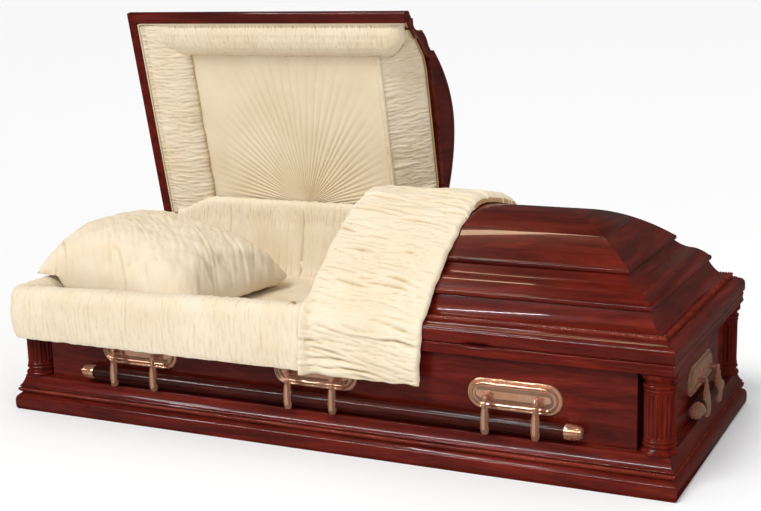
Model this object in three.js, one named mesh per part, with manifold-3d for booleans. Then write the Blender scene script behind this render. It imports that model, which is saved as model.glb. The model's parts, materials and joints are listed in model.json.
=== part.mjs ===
// A half-couch hardwood casket: carved body, two domed lids, shirred lining and swing-bar handles.
// Millimetres, +Z up. The origin is the middle of the underside, +X points to the foot end, -Y to the front.
import * as THREE from 'three';
import Module from 'manifold-3d';
import { mergeVertices } from 'three/addons/utils/BufferGeometryUtils.js';

const wasm = await Module();
wasm.setup();

// Driving dimensions of the body
const LENGTH = 2100;
const WIDTH = 860;
const FIT_GAP = 0.4;
const BASE_HEIGHT = 108;
const BASE_BEAD_Z = 62.5;
const BASE_BEAD_RADIUS = 6;
const LEDGE_INSET = 27;
const BASE_WALL_INSET = 72;
const FLOOR_THICKNESS = 18;
const PANEL_INSET = 50;
const PANEL_THICKNESS = 18;
const CORNER_NOTCH = 68;
const RIM_BOTTOM_Z = 322;
const SEAM_Z = 354;
const RIM_INSET = 15;

// Driving dimensions of the corner columns
const COLUMN_RADIUS = 41;
const COLUMN_CAP_RADIUS = 48;
const COLUMN_INSET = 63;
const COLUMN_CAP_HEIGHT = 52;
const COLUMN_FOOT_HEIGHT = 42;
const FLUTES = 20;
const FLUTE_DEPTH = 4.5;

// Driving dimensions of the lids
const SPLIT_X = 5;
const SPLIT_GAP = 3;
const SEAM_GAP = 1;
const LID_WIDEST_INSET = 12;
const LID_RIM_TOP_Z = 400;
const LID_FACE_WIDTH = 30;
const LID_BEAD_INSET = 50;
const LID_BEAD_RADIUS = 7;
const TIER_FOOT_GAP = 4.5;
const TIER_FOOT_RISE = 15;
const TIER_EDGE_INSET = 97;
const TIER_EDGE_Z = 470;
const CROWN_EDGE_INSET = 182;
const CROWN_EDGE_Z = 541;
const CROWN_TOP_Z = 653;
const CROWN_ROUNDNESS = 1.9;
const SHELL = 18;
const HEADER_THICKNESS = 20;
const HEADER_ARCH_RISE = 172;

// Driving dimensions of the hinges
const HINGE_Z = 366;
const HINGE_INSET = 4;
const HINGE_RADIUS = 6;
const HINGE_LEAF = 5;
const HINGE_END_GAP = 40;
const HINGE_FAR_GAP = 120;
const LID_OPEN_DEG = 78.5;

// Driving dimensions of the handles
const HANDLE_PIVOT_Z = 215;
const HANDLE_REACH = 38;
const BAR_DROP = 71;
const BAR_BEHIND = 14;
const BAR_RADIUS = 19;
const BAR_HALF_LENGTH = 796;
const END_BAR_HALF_LENGTH = 150;
const TIP_LENGTH = 47;
const PLATE_SPACING = 600;
const PLATE_LENGTH = 268;
const PLATE_HEIGHT = 86;
const PLATE_THICKNESS = 12;
const PLATE_FLANGE = 4;
const PLATE_BORDER = 13;
const ARM_SPACING = 142;
const ARM_LENGTH = 103;
const ARM_RADIUS = 13;
const ARM_NECK = 8;
const LUG_RADIUS = 7;

// Driving dimensions of the lining and the bedding
const LINING_THICKNESS = 12;
const LINING_BOTTOM_Z = 150;
const BED_TOP_Z = 300;
const ROLL_WIDTH = 117;
const HEAD_ROLL_WIDTH = 174;
const HINGE_ROLL_WIDTH = 128;
const ROLL_DEPTH = 42;
const LID_PANEL_THICKNESS = 7;
const SPLIT_BAND_RUN = 83;
const SPLIT_BAND_RISE = 88;
const SPLIT_BAND_THICKNESS = 14;
const COLLAR_BOTTOM_Z = 238;
const COLLAR_TOP_Z = 398;
const COLLAR_PROUD = 20;
const COLLAR_CORNER = 34;
const THROW_WIDTH = 355;
const THROW_THICKNESS = 13;
const THROW_BOTTOM_Z = 238;
const THROW_PAST_RIDGE = 130;
const PILLOW_LENGTH = 650;
const PILLOW_WIDTH = 600;
const PILLOW_THICKNESS = 220;
const PILLOW_TILT_DEG = 11;
const PILLOW_FROM_HEAD = 355;
const PILLOW_TO_FRONT = 30;
const PILLOW_RISE = 136;
const APRON_TOP_Z = 545;
const APRON_SIDE_RISE = 90;
const APRON_THICKNESS = 12;

const HALF_L = LENGTH / 2;
const HALF_W = WIDTH / 2;
const HINGE_Y = HALF_W - HINGE_INSET;
const LID_BOTTOM_Z = SEAM_Z + SEAM_GAP;
const WALL_INSET = PANEL_INSET + PANEL_THICKNESS;

// Finishes
const finish = (color, roughness, metalness) => new THREE.MeshStandardMaterial({ color, roughness, metalness });
const wood = finish(0x4a130c, 0.2, 0);
const inside = finish(0x6b4a33, 0.7, 0);
const metal = finish(0xc98a63, 0.2, 1);
const cloth = finish(0xefe0c4, 0.85, 0);

const casket = new THREE.Group();
const headLid = lidGroup(LID_OPEN_DEG);
const footLid = lidGroup(0);

// A lid's group holds its pieces as they lie when shut, and turns them about the hinge
function lidGroup(openDegrees) {
  const group = new THREE.Group();
  group.position.set(0, HINGE_Y, HINGE_Z);
  group.rotation.x = -THREE.MathUtils.degToRad(openDegrees);
  casket.add(group);
  return group;
}

function place(name, geometry, material, parent = casket) {
  const mesh = new THREE.Mesh(geometry, material);
  mesh.name = name;
  if (parent === headLid || parent === footLid) mesh.position.set(0, -HINGE_Y, -HINGE_Z);
  parent.add(mesh);
  return mesh;
}

// Solids for cutting and joining
function welded(geometry) {
  const bare = geometry.clone();
  bare.deleteAttribute('normal');
  bare.deleteAttribute('uv');
  return mergeVertices(bare, 1e-3);
}

function solid(geometry) {
  const mesh = welded(geometry);
  return new wasm.Manifold(new wasm.Mesh({
    numProp: 3,
    vertProperties: new Float32Array(mesh.attributes.position.array),
    triVerts: new Uint32Array(mesh.index.array),
  }));
}

function geometryOf(body) {
  const mesh = body.getMesh();
  const geometry = new THREE.BufferGeometry();
  geometry.setAttribute('position', new THREE.BufferAttribute(mesh.vertProperties, mesh.numProp));
  geometry.setIndex(new THREE.BufferAttribute(mesh.triVerts, 1));
  return geometry;
}

function joined(geometries) {
  return geometryOf(geometries.map(solid).reduce((whole, next) => whole.add(next)));
}

// A box from its lowest to its highest corner
function box(x0, y0, z0, x1, y1, z1) {
  const geometry = new THREE.BoxGeometry(x1 - x0, y1 - y0, z1 - z0);
  return geometry.translate((x0 + x1) / 2, (y0 + y1) / 2, (z0 + z1) / 2);
}

// A plan outline raised from one height to another
function raised(outline, z0, z1, holes = []) {
  const shape = new THREE.Shape(outline);
  for (const hole of holes) shape.holes.push(new THREE.Path(hole));
  return new THREE.ExtrudeGeometry(shape, { depth: z1 - z0, bevelEnabled: false }).translate(0, 0, z0);
}

// A cross-section in Y and Z drawn out along X
function drawnOut(outline, x0, x1) {
  const along = new THREE.ExtrudeGeometry(new THREE.Shape(outline), { depth: x1 - x0, bevelEnabled: false });
  const turn = new THREE.Matrix4().makeBasis(
    new THREE.Vector3(0, 1, 0), new THREE.Vector3(0, 0, 1), new THREE.Vector3(1, 0, 0));
  return along.applyMatrix4(turn).translate(x0, 0, 0);
}

// A moulding's section, as points of inset and height, mitred round the corners that corners(inset) gives.
// An open run is capped. ridge names the first of two section points where its front and back halves meet.
function mitred(section, corners, { closed = false, ridge = -1 } = {}) {
  const stations = corners(0).length;
  const count = section.length;
  const position = [];
  for (const point of section) {
    for (const corner of corners(point.x)) position.push(corner.x, corner.y, point.y);
  }
  const vertex = (point, station) => (point % count) * stations + (station % stations);
  const index = [];
  const runs = closed ? stations : stations - 1;
  for (let run = 0; run < runs; run++) {
    for (let point = 0; point < count; point++) {
      if (point === ridge) continue;
      const a = vertex(point, run);
      const b = vertex(point, run + 1);
      const c = vertex(point + 1, run + 1);
      const d = vertex(point + 1, run);
      index.push(a, b, c, a, c, d);
    }
  }
  if (!closed) {
    const turning = Math.sign(THREE.ShapeUtils.area(section));
    for (const triangle of THREE.ShapeUtils.triangulateShape(section, [])) {
      const same = Math.sign(THREE.ShapeUtils.area(triangle.map((k) => section[k]))) === turning;
      const [p, q, r] = same ? triangle : [...triangle].reverse();
      index.push(vertex(p, 0), vertex(q, 0), vertex(r, 0));
      index.push(vertex(p, stations - 1), vertex(r, stations - 1), vertex(q, stations - 1));
    }
  }
  const geometry = new THREE.BufferGeometry();
  geometry.setAttribute('position', new THREE.Float32BufferAttribute(position, 3));
  geometry.setIndex(index);
  return facingOut(mergeVertices(geometry, 1e-3));
}

// Drops triangles that have shrunk to a line and turns all faces outwards
function facingOut(geometry) {
  const spots = geometry.attributes.position;
  const a = new THREE.Vector3();
  const b = new THREE.Vector3();
  const c = new THREE.Vector3();
  const kept = [];
  let volume = 0;
  for (let i = 0; i < geometry.index.count; i += 3) {
    const [p, q, r] = [0, 1, 2].map((k) => geometry.index.getX(i + k));
    if (p === q || q === r || r === p) continue;
    kept.push([p, q, r]);
    a.fromBufferAttribute(spots, p);
    b.fromBufferAttribute(spots, q);
    c.fromBufferAttribute(spots, r);
    volume += a.dot(b.cross(c));
  }
  geometry.setIndex(kept.flatMap(([p, q, r]) => (volume > 0 ? [p, q, r] : [p, r, q])));
  return geometry;
}

const at = (inset, z) => new THREE.Vector2(inset, z);

// Points on an arc of inset and height, where 180 degrees is the outermost side
function arc(inset, z, radius, fromDeg, toDeg, steps) {
  return Array.from({ length: steps + 1 }, (_, i) => {
    const angle = THREE.MathUtils.degToRad(fromDeg + (toDeg - fromDeg) * i / steps);
    return at(inset + radius * Math.cos(angle), z + radius * Math.sin(angle));
  });
}

// Points on a curve between two ends, with rise(s) from 0 to 1 giving the height's share
function swelling(from, to, rise, steps) {
  return Array.from({ length: steps - 1 }, (_, i) => {
    const s = (i + 1) / steps;
    return at(from.x + (to.x - from.x) * s, from.y + (to.y - from.y) * rise(s));
  });
}

// The four corners of the base outline, moved in by an inset
function ringCorners(inset) {
  const x = HALF_L - inset;
  const y = HALF_W - inset;
  return [at(-x, -y), at(x, -y), at(x, y), at(-x, y)];
}

// The run round one lid: from the split along the front, round the far end and back along the hinge side
function lidCorners(side) {
  const splitX = SPLIT_X + side * SPLIT_GAP / 2;
  return (inset) => {
    const x = side * (HALF_L - inset);
    const y = HALF_W - inset;
    return [at(splitX, -y), at(x, -y), at(x, y), at(splitX, y)];
  };
}

// The body's plan with a square notch at each corner for a column
function bodyPlan(inset) {
  const x = HALF_L - inset;
  const y = HALF_W - inset;
  const quarter = [at(x - CORNER_NOTCH, -y), at(x - CORNER_NOTCH, CORNER_NOTCH - y), at(x, CORNER_NOTCH - y)];
  const mirrored = (sx, sy, points) => points.map((p) => at(sx * p.x, sy * p.y));
  return [
    ...quarter,
    ...mirrored(1, -1, quarter).reverse(),
    ...mirrored(-1, -1, quarter),
    ...mirrored(-1, 1, quarter).reverse(),
  ];
}

// Base: torus on the floor, rope bead, nose and cove up to the ledge
function baseSection() {
  const nose = at(12, BASE_BEAD_Z + 10);
  const ledge = at(LEDGE_INSET, BASE_HEIGHT - 4);
  return [
    at(4, 0),
    at(0.5, 8),
    at(0, 22),
    at(1, 34),
    at(5, 43),
    at(14, 50),
    at(16, 54),
    ...arc(BASE_BEAD_RADIUS + 7, BASE_BEAD_Z, BASE_BEAD_RADIUS, 235, 125, 4),
    at(15, BASE_BEAD_Z + 7),
    nose,
    at(13, nose.y + 3),
    ...swelling(nose, ledge, (s) => s ** 1.6, 4),
    ledge,
    at(LEDGE_INSET + 2, BASE_HEIGHT),
    at(BASE_WALL_INSET, BASE_HEIGHT),
    at(BASE_WALL_INSET, 0),
  ];
}

function addBody() {
  place('base_moulding', mitred(baseSection(), ringCorners, { closed: true }), wood);
  const floor = ringCorners(BASE_WALL_INSET + FIT_GAP);
  place('bottom_board', raised(floor, 0, FLOOR_THICKNESS), inside);
  addPanels();
  addRim();
  for (const [name, sx, sy] of [
    ['front_head_column', -1, -1],
    ['front_foot_column', 1, -1],
    ['rear_head_column', -1, 1],
    ['rear_foot_column', 1, 1],
  ]) {
    const column = place(name, columnGeometry(), wood);
    column.position.set(sx * (HALF_L - COLUMN_INSET), sy * (HALF_W - COLUMN_INSET), BASE_HEIGHT + FIT_GAP);
  }
}

// The long boards turn in at the notches and the end boards meet them there
function addPanels() {
  const z0 = BASE_HEIGHT + FIT_GAP;
  const z1 = RIM_BOTTOM_Z - FIT_GAP;
  const xNotch = HALF_L - PANEL_INSET - CORNER_NOTCH;
  const yNotch = HALF_W - PANEL_INSET - CORNER_NOTCH;
  const yFace = HALF_W - PANEL_INSET;
  const xFace = HALF_L - PANEL_INSET;
  const t = PANEL_THICKNESS;
  const side = [
    at(-xNotch, -yFace),
    at(xNotch, -yFace),
    at(xNotch, t - yNotch),
    at(xNotch - t, t - yNotch),
    at(xNotch - t, t - yFace),
    at(t - xNotch, t - yFace),
    at(t - xNotch, t - yNotch),
    at(-xNotch, t - yNotch),
  ];
  const legX = xNotch + FIT_GAP;
  const end = [
    at(legX, -yNotch),
    at(xFace, -yNotch),
    at(xFace, yNotch),
    at(legX, yNotch),
    at(legX, yNotch - t),
    at(xFace - t, yNotch - t),
    at(xFace - t, t - yNotch),
    at(legX, t - yNotch),
  ];
  const turned = (outline) => outline.map((p) => at(-p.x, -p.y));
  place('front_panel', raised(side, z0, z1), wood);
  place('back_panel', raised(turned(side), z0, z1), wood);
  place('foot_panel', raised(end, z0, z1), wood);
  place('head_panel', raised(turned(end), z0, z1), wood);
}

// The rim moulding carries blocks that close the notches over the columns
function addRim() {
  const inner = WALL_INSET;
  const section = [
    at(RIM_INSET + 3, RIM_BOTTOM_Z),
    at(RIM_INSET, RIM_BOTTOM_Z + 4),
    at(RIM_INSET + 2, RIM_BOTTOM_Z + 14),
    at(RIM_INSET + 1, SEAM_Z - 6),
    at(RIM_INSET + 3, SEAM_Z),
    at(inner, SEAM_Z),
    at(inner, RIM_BOTTOM_Z),
  ];
  const far = PANEL_INSET + CORNER_NOTCH + PANEL_THICKNESS;
  const sunk = 5;
  const near = inner - sunk;
  const size = far - near;
  const blocks = ringCorners((far + near) / 2).map((middle) => box(
    middle.x - size / 2, middle.y - size / 2, RIM_BOTTOM_Z,
    middle.x + size / 2, middle.y + size / 2, SEAM_Z));
  place('body_rim', joined([mitred(section, ringCorners, { closed: true }), ...blocks]), wood);
}

// Column: turned foot, fluted shaft and turned cap
function columnGeometry() {
  const height = RIM_BOTTOM_Z - BASE_HEIGHT - 2 * FIT_GAP;
  const rings = (heights) => heights.map(([radius, z]) => at(radius, z));
  const r = COLUMN_CAP_RADIUS;
  const foot = rings([
    [0, 0], [r - 2, 0], [r - 1, 9], [r - 8, 17], [r - 8, 22], [r - 4, 30],
    [COLUMN_RADIUS + 1.5, COLUMN_FOOT_HEIGHT], [0, COLUMN_FOOT_HEIGHT],
  ]);
  const top = height - COLUMN_CAP_HEIGHT;
  const cap = rings([
    [0, top], [COLUMN_RADIUS + 1.5, top], [r - 4, top + 8], [r - 8, top + 16],
    [r - 8, top + 24], [r - 1, top + 34], [r, height], [0, height],
  ]);
  const turned = (profile) => new THREE.LatheGeometry(profile, 16).rotateX(Math.PI / 2);
  const outline = [];
  for (let flute = 0; flute < FLUTES; flute++) {
    for (const [share, depth] of [[0, 0], [0.3, 0], [0.65, FLUTE_DEPTH]]) {
      const angle = (flute + share) * 2 * Math.PI / FLUTES;
      outline.push(at((COLUMN_RADIUS - depth) * Math.cos(angle), (COLUMN_RADIUS - depth) * Math.sin(angle)));
    }
  }
  return joined([turned(foot), raised(outline, COLUMN_FOOT_HEIGHT - 6, top + 6), turned(cap)]);
}

// Lid rim: ovolo, fillet and the rope bead, with a flat contact face below
function lidRimSection() {
  const bead = arc(LID_BEAD_INSET, LID_RIM_TOP_Z + 8, LID_BEAD_RADIUS, 215, 55, 6);
  return [
    at(RIM_INSET + 1, LID_BOTTOM_Z),
    at(LID_WIDEST_INSET + 1, LID_BOTTOM_Z + 7),
    at(LID_WIDEST_INSET, LID_BOTTOM_Z + 17),
    at(LID_WIDEST_INSET + 1, LID_BOTTOM_Z + 28),
    at(LID_WIDEST_INSET + 5, LID_BOTTOM_Z + 37),
    at(LID_WIDEST_INSET + 12, LID_RIM_TOP_Z - 2),
    at(LID_WIDEST_INSET + 20, LID_RIM_TOP_Z),
    at(LID_WIDEST_INSET + 23, LID_RIM_TOP_Z + 3),
    at(LID_BEAD_INSET - LID_BEAD_RADIUS, LID_RIM_TOP_Z + 3),
    ...bead,
    at(tierFoot().x - FIT_GAP, tierFoot().y),
    at(tierFoot().x - FIT_GAP, LID_RIM_TOP_Z + 4),
    at(RIM_INSET + 1 + LID_FACE_WIDTH, LID_RIM_TOP_Z - 2),
    at(RIM_INSET + 1 + LID_FACE_WIDTH, LID_BOTTOM_Z),
  ];
}

// Where the tier stands behind the rope bead
function tierFoot() {
  return at(LID_BEAD_INSET + LID_BEAD_RADIUS + TIER_FOOT_GAP, LID_RIM_TOP_Z + TIER_FOOT_RISE);
}

// The tier's shoulder turns from convex by its edge to concave by the crown
function shoulder(s) {
  const turn = 2 * s - 1;
  return 0.42 * s + 0.58 * (0.5 + 0.5 * Math.sign(turn) * turn * turn);
}

// Lid tier: cove, overhanging edge and a shoulder up to the crown, as a shell
function lidTierSection() {
  const foot = tierFoot();
  const underEdge = at(TIER_EDGE_INSET + 7, TIER_EDGE_Z - 8);
  const overEdge = at(TIER_EDGE_INSET + 7, TIER_EDGE_Z + 9);
  const top = at(CROWN_EDGE_INSET + 6, CROWN_EDGE_Z - 6);
  const cove = swelling(foot, underEdge, (s) => s ** 1.9, 5);
  const slope = swelling(overEdge, top, shoulder, 6);
  return [
    foot,
    ...cove,
    underEdge,
    at(TIER_EDGE_INSET + 1, TIER_EDGE_Z - 6),
    at(TIER_EDGE_INSET - 0.5, TIER_EDGE_Z),
    at(TIER_EDGE_INSET + 1.5, TIER_EDGE_Z + 6),
    overEdge,
    ...slope,
    top,
    at(top.x + SHELL, top.y),
    at(top.x + SHELL, top.y - SHELL),
    at(overEdge.x + SHELL, overEdge.y - SHELL),
    at(underEdge.x + SHELL * 0.7, underEdge.y - SHELL),
    at(foot.x + SHELL, foot.y + 2),
    at(foot.x + SHELL, foot.y - 10),
    at(foot.x, foot.y - 10),
  ];
}

// The crown's arched height over the plan, measured by its inset
function crownHeight(inset, drop = 0) {
  const start = CROWN_EDGE_INSET + 5;
  const s = Math.max(0, (inset - start) / (HALF_W - start));
  const low = CROWN_EDGE_Z + 8.5;
  return low + (CROWN_TOP_Z - low) * (1 - (1 - s) ** CROWN_ROUNDNESS) - drop;
}

// Lid crown: a rounded edge and the hipped arch, as a shell that meets itself along the ridge
function crownSection() {
  const e = CROWN_EDGE_INSET;
  const insets = (from, steps) => Array.from({ length: steps + 1 }, (_, i) => from + (HALF_W - from) * i / steps);
  const outside = insets(e + 5, 9).map((inset) => at(inset, crownHeight(inset)));
  const inner = e + 6 + SHELL + FIT_GAP;
  const within = insets(inner + 4, 6).map((inset) => at(inset, crownHeight(inset, SHELL))).reverse();
  const section = [
    at(e + 4, CROWN_EDGE_Z - 6 + FIT_GAP),
    at(e + 0.5, CROWN_EDGE_Z - 4),
    at(e - 0.5, CROWN_EDGE_Z + 1),
    at(e + 1, CROWN_EDGE_Z + 6),
    ...outside,
    ...within,
    at(inner, CROWN_EDGE_Z - 6 + FIT_GAP),
  ];
  return { section, ridge: 4 + outside.length - 1 };
}

// Crescent board that closes the crown at the split, over a shallow arch
function headerGeometry(side) {
  const clear = SHELL + 3;
  const outer = CROWN_EDGE_INSET + 6 + SHELL + 1;
  const chord = CROWN_EDGE_Z - 6 - SHELL + 2;
  const steps = 8;
  const share = (i) => outer + 4 + (HALF_W - outer - 4) * i / steps;
  const over = Array.from({ length: steps + 1 }, (_, i) => at(share(i), crownHeight(share(i), clear)));
  const rise = SEAM_Z + HEADER_ARCH_RISE - chord;
  const under = (inset) => chord + rise * (1 - ((HALF_W - inset) / (HALF_W - outer)) ** 2);
  const below = [0.25, 0.5, 0.75].map((s) => outer + (HALF_W - outer) * s).map((inset) => at(inset, under(inset)));
  const left = [...below.reverse(), at(outer, chord), at(outer, CROWN_EDGE_Z - 7), ...over];
  const right = left.slice(0, -1).map((p) => at(2 * HALF_W - p.x, p.y)).reverse();
  const outline = [at(HALF_W, under(HALF_W)), ...left, ...right].map((p) => at(p.x - HALF_W, p.y));
  const near = SPLIT_X + side * SPLIT_GAP / 2;
  const [x0, x1] = [near, near + side * HEADER_THICKNESS].sort((p, q) => p - q);
  return drawnOut(outline, x0, x1);
}

function addLid(name, side, group) {
  const corners = lidCorners(side);
  const { section, ridge } = crownSection();
  place(`${name}_rim`, mitred(lidRimSection(), corners), wood, group);
  place(`${name}_tier`, mitred(lidTierSection(), corners), wood, group);
  place(`${name}_crown`, mitred(section, corners, { ridge }), wood, group);
  place(`${name}_header`, headerGeometry(side), inside, group);
}

// Hinge: a leaf on the body rim's back and a barrel on the pivot line
function addHinge(name, side) {
  const xSplit = SPLIT_X + side * HINGE_END_GAP;
  const xEnd = side * (HALF_L - HINGE_FAR_GAP);
  const [x0, x1] = [xSplit, xEnd].sort((p, q) => p - q);
  const back = HALF_W - RIM_INSET + FIT_GAP;
  const leaf = box(x0, back, RIM_BOTTOM_Z + 8, x1, back + HINGE_LEAF, SEAM_Z - 1);
  const neck = box(x0, HALF_W - LID_WIDEST_INSET + 1, SEAM_Z - 4, x1, HINGE_Y, HINGE_Z - 2);
  const barrel = new THREE.CylinderGeometry(HINGE_RADIUS, HINGE_RADIUS, x1 - x0, 12).rotateZ(Math.PI / 2);
  barrel.translate((x0 + x1) / 2, HINGE_Y, HINGE_Z);
  place(name, joined([leaf, neck, barrel]), metal);
}

// Handles are built for a face that looks along -Y, with the pivot line at the group's origin
function handleGroup(facing, face) {
  const group = new THREE.Group();
  group.rotation.z = THREE.MathUtils.degToRad(facing);
  const out = new THREE.Vector3(0, -(face + HANDLE_REACH), HANDLE_PIVOT_Z);
  group.position.copy(out.applyAxisAngle(new THREE.Vector3(0, 0, 1), group.rotation.z));
  casket.add(group);
  return group;
}

// An oval outline in X and Z, laid in X and Y for raising
function oval(length, height, steps) {
  const radius = height / 2;
  const outline = [];
  for (const side of [1, -1]) {
    for (let i = 0; i <= steps; i++) {
      const angle = -Math.PI / 2 + Math.PI * i / steps;
      outline.push(at(side * (length / 2 - radius + radius * Math.cos(angle)), side * radius * Math.sin(angle)));
    }
  }
  return outline;
}

// Plate: oval flange, raised oval field and two lugs that the arms hang from
function plateGeometry() {
  const back = HANDLE_REACH - FIT_GAP;
  const flange = raised(oval(PLATE_LENGTH, PLATE_HEIGHT, 4), 0, PLATE_FLANGE);
  const shape = new THREE.Shape(oval(PLATE_LENGTH - 2 * PLATE_BORDER, PLATE_HEIGHT - 2 * PLATE_BORDER, 4));
  const bevel = (PLATE_THICKNESS - PLATE_FLANGE) / 2;
  const field = new THREE.ExtrudeGeometry(shape, {
    depth: bevel, bevelThickness: bevel, bevelSize: bevel, bevelSegments: 1,
  }).translate(0, 0, PLATE_FLANGE);
  const pieces = [flange, field];
  const reach = back - ARM_NECK - 1;
  for (const side of [-1, 1]) {
    const lug = new THREE.CylinderGeometry(LUG_RADIUS, LUG_RADIUS + 3, reach - 1, 8).rotateX(Math.PI / 2);
    pieces.push(lug.translate(side * ARM_SPACING / 2, 0, reach / 2 + 0.5));
  }
  return joined(pieces).rotateX(Math.PI / 2).translate(0, back, 0);
}

// Arm: a turned spindle that hangs in front of its lug and is notched behind for the bar
function armGeometry() {
  const r = ARM_RADIUS;
  const n = ARM_LENGTH;
  const profile = [
    [0, -n], [r * 0.6, -n + 3], [r, -n + 30], [r * 0.92, -n + 56],
    [r * 0.55, -n + 82], [ARM_NECK * 0.7, -12], [ARM_NECK, -5], [ARM_NECK, 4], [0, 7],
  ];
  const spindle = new THREE.LatheGeometry(profile.map(([radius, z]) => at(radius, z)), 7).rotateX(Math.PI / 2);
  const sides = 12;
  const seat = (BAR_RADIUS + FIT_GAP) / Math.cos(Math.PI / sides);
  const notch = new THREE.CylinderGeometry(seat, seat, 4 * r, sides).rotateZ(Math.PI / 2);
  notch.translate(0, BAR_BEHIND, -BAR_DROP);
  return geometryOf(solid(spindle).subtract(solid(notch)));
}

// Bar: a turned rod with a grooved tip at each end
function barGeometry(halfLength) {
  const r = BAR_RADIUS;
  const tip = halfLength - TIP_LENGTH;
  const half = [
    [r, tip], [r + 1.5, tip + 2], [r + 1.5, tip + 18], [r - 2, tip + 22], [r + 1, tip + 26],
    [r - 6, halfLength - 3], [0, halfLength],
  ];
  const profile = [...half.map(([radius, x]) => at(radius, -x)).reverse(), ...half.map(([radius, x]) => at(radius, x))];
  return new THREE.LatheGeometry(profile, 10).rotateZ(-Math.PI / 2);
}

function addHandle(name, facing, face, plates, halfLength) {
  const group = handleGroup(facing, face);
  const bar = place(`${name}_bar`, barGeometry(halfLength), wood, group);
  bar.position.set(0, BAR_BEHIND, -BAR_DROP);
  const spots = Array.from({ length: plates }, (_, i) => (i - (plates - 1) / 2) * PLATE_SPACING);
  spots.forEach((x, i) => {
    const label = plates > 1 ? `_${i + 1}` : '';
    place(`${name}_plate${label}`, plateGeometry(), metal, group).position.set(x, 0, 0);
    for (const [tag, side] of [['left', -1], ['right', 1]]) {
      const arm = place(`${name}_arm${label}_${tag}`, armGeometry(), metal, group);
      arm.position.set(x + side * ARM_SPACING / 2, 0, 0);
    }
  });
}

// Lid lining: a flat panel, padded rolls along three sides and a band that rises to the header at the split
function addLidLining() {
  const edge = RIM_INSET + 1 + LID_FACE_WIDTH + FIT_GAP;
  const panelEdge = tierFoot().x + 1;
  const x0 = -(HALF_L - edge);
  const x1 = SPLIT_X - SPLIT_GAP / 2 - HEADER_THICKNESS - FIT_GAP;
  const y = HALF_W - edge;
  const rollTop = LID_BOTTOM_Z + ROLL_DEPTH;
  const bandFoot = x1 - SPLIT_BAND_RUN;
  const panel = box(
    -(HALF_L - panelEdge), -(HALF_W - panelEdge), rollTop + FIT_GAP,
    bandFoot - FIT_GAP, HALF_W - panelEdge, rollTop + FIT_GAP + LID_PANEL_THICKNESS);
  place('lid_sunburst_panel', panel, cloth, headLid);
  const roll = (width, length) => drawnOut(Array.from({ length: 9 }, (_, i) => {
    const angle = Math.PI * (1 + i / 8);
    return at(width / 2 * Math.cos(angle), rollTop + ROLL_DEPTH * Math.sin(angle));
  }), -length / 2, length / 2);
  const middleX = (x0 + x1) / 2;
  const frontEnd = ROLL_WIDTH + FIT_GAP - y;
  const hingeEnd = y - HINGE_ROLL_WIDTH - FIT_GAP;
  const middleY = (frontEnd + hingeEnd) / 2;
  place('lid_front_roll', roll(ROLL_WIDTH, x1 - x0).translate(middleX, ROLL_WIDTH / 2 - y, 0), cloth, headLid);
  place('lid_hinge_roll', roll(HINGE_ROLL_WIDTH, x1 - x0).translate(middleX, y - HINGE_ROLL_WIDTH / 2, 0), cloth, headLid);
  const headRoll = roll(HEAD_ROLL_WIDTH, hingeEnd - frontEnd).rotateZ(Math.PI / 2);
  place('lid_head_roll', headRoll.translate(x0 + HEAD_ROLL_WIDTH / 2, middleY, 0), cloth, headLid);
  const bandTop = rollTop + SPLIT_BAND_RISE;
  const band = [
    at(bandFoot, rollTop),
    at(x1, bandTop - SPLIT_BAND_THICKNESS),
    at(x1, bandTop),
    at(bandFoot, rollTop + SPLIT_BAND_THICKNESS),
  ];
  const across = new THREE.ExtrudeGeometry(new THREE.Shape(band), { depth: hingeEnd - frontEnd, bevelEnabled: false });
  place('lid_split_band', across.rotateX(Math.PI / 2).translate(0, hingeEnd, 0), cloth, headLid);
}

// Body lining, bed and pillow
function addBedding() {
  const lining = raised(
    bodyPlan(WALL_INSET + FIT_GAP), LINING_BOTTOM_Z, SEAM_Z - 2, [bodyPlan(WALL_INSET + FIT_GAP + LINING_THICKNESS)]);
  place('side_lining', lining, cloth);
  const bedInset = WALL_INSET + LINING_THICKNESS + 6;
  const bed = raised(bodyPlan(bedInset), FLOOR_THICKNESS + FIT_GAP, BED_TOP_Z);
  place('bed', bed, cloth);
  const pillow = place('pillow', pillowGeometry(), cloth);
  pillow.position.set(-HALF_L + PILLOW_FROM_HEAD, -PILLOW_TO_FRONT, BED_TOP_Z + PILLOW_RISE);
  pillow.rotation.y = THREE.MathUtils.degToRad(PILLOW_TILT_DEG);
}

// A cushion with full sides: a ball pushed towards a square in plan and thinned to its corners
function pillowGeometry() {
  const geometry = new THREE.SphereGeometry(1, 16, 8).rotateX(Math.PI / 2);
  const spots = geometry.attributes.position;
  for (let i = 0; i < spots.count; i++) {
    const [x, y, z] = [spots.getX(i), spots.getY(i), spots.getZ(i)];
    const round = Math.hypot(x, y);
    const square = round > 0 ? round / Math.max(Math.abs(x), Math.abs(y)) : 1;
    const push = 1 + (square - 1) * 0.8;
    spots.setXYZ(i, x * push * PILLOW_LENGTH / 2, y * push * PILLOW_WIDTH / 2, z * PILLOW_THICKNESS / 2);
  }
  return geometry;
}

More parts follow.
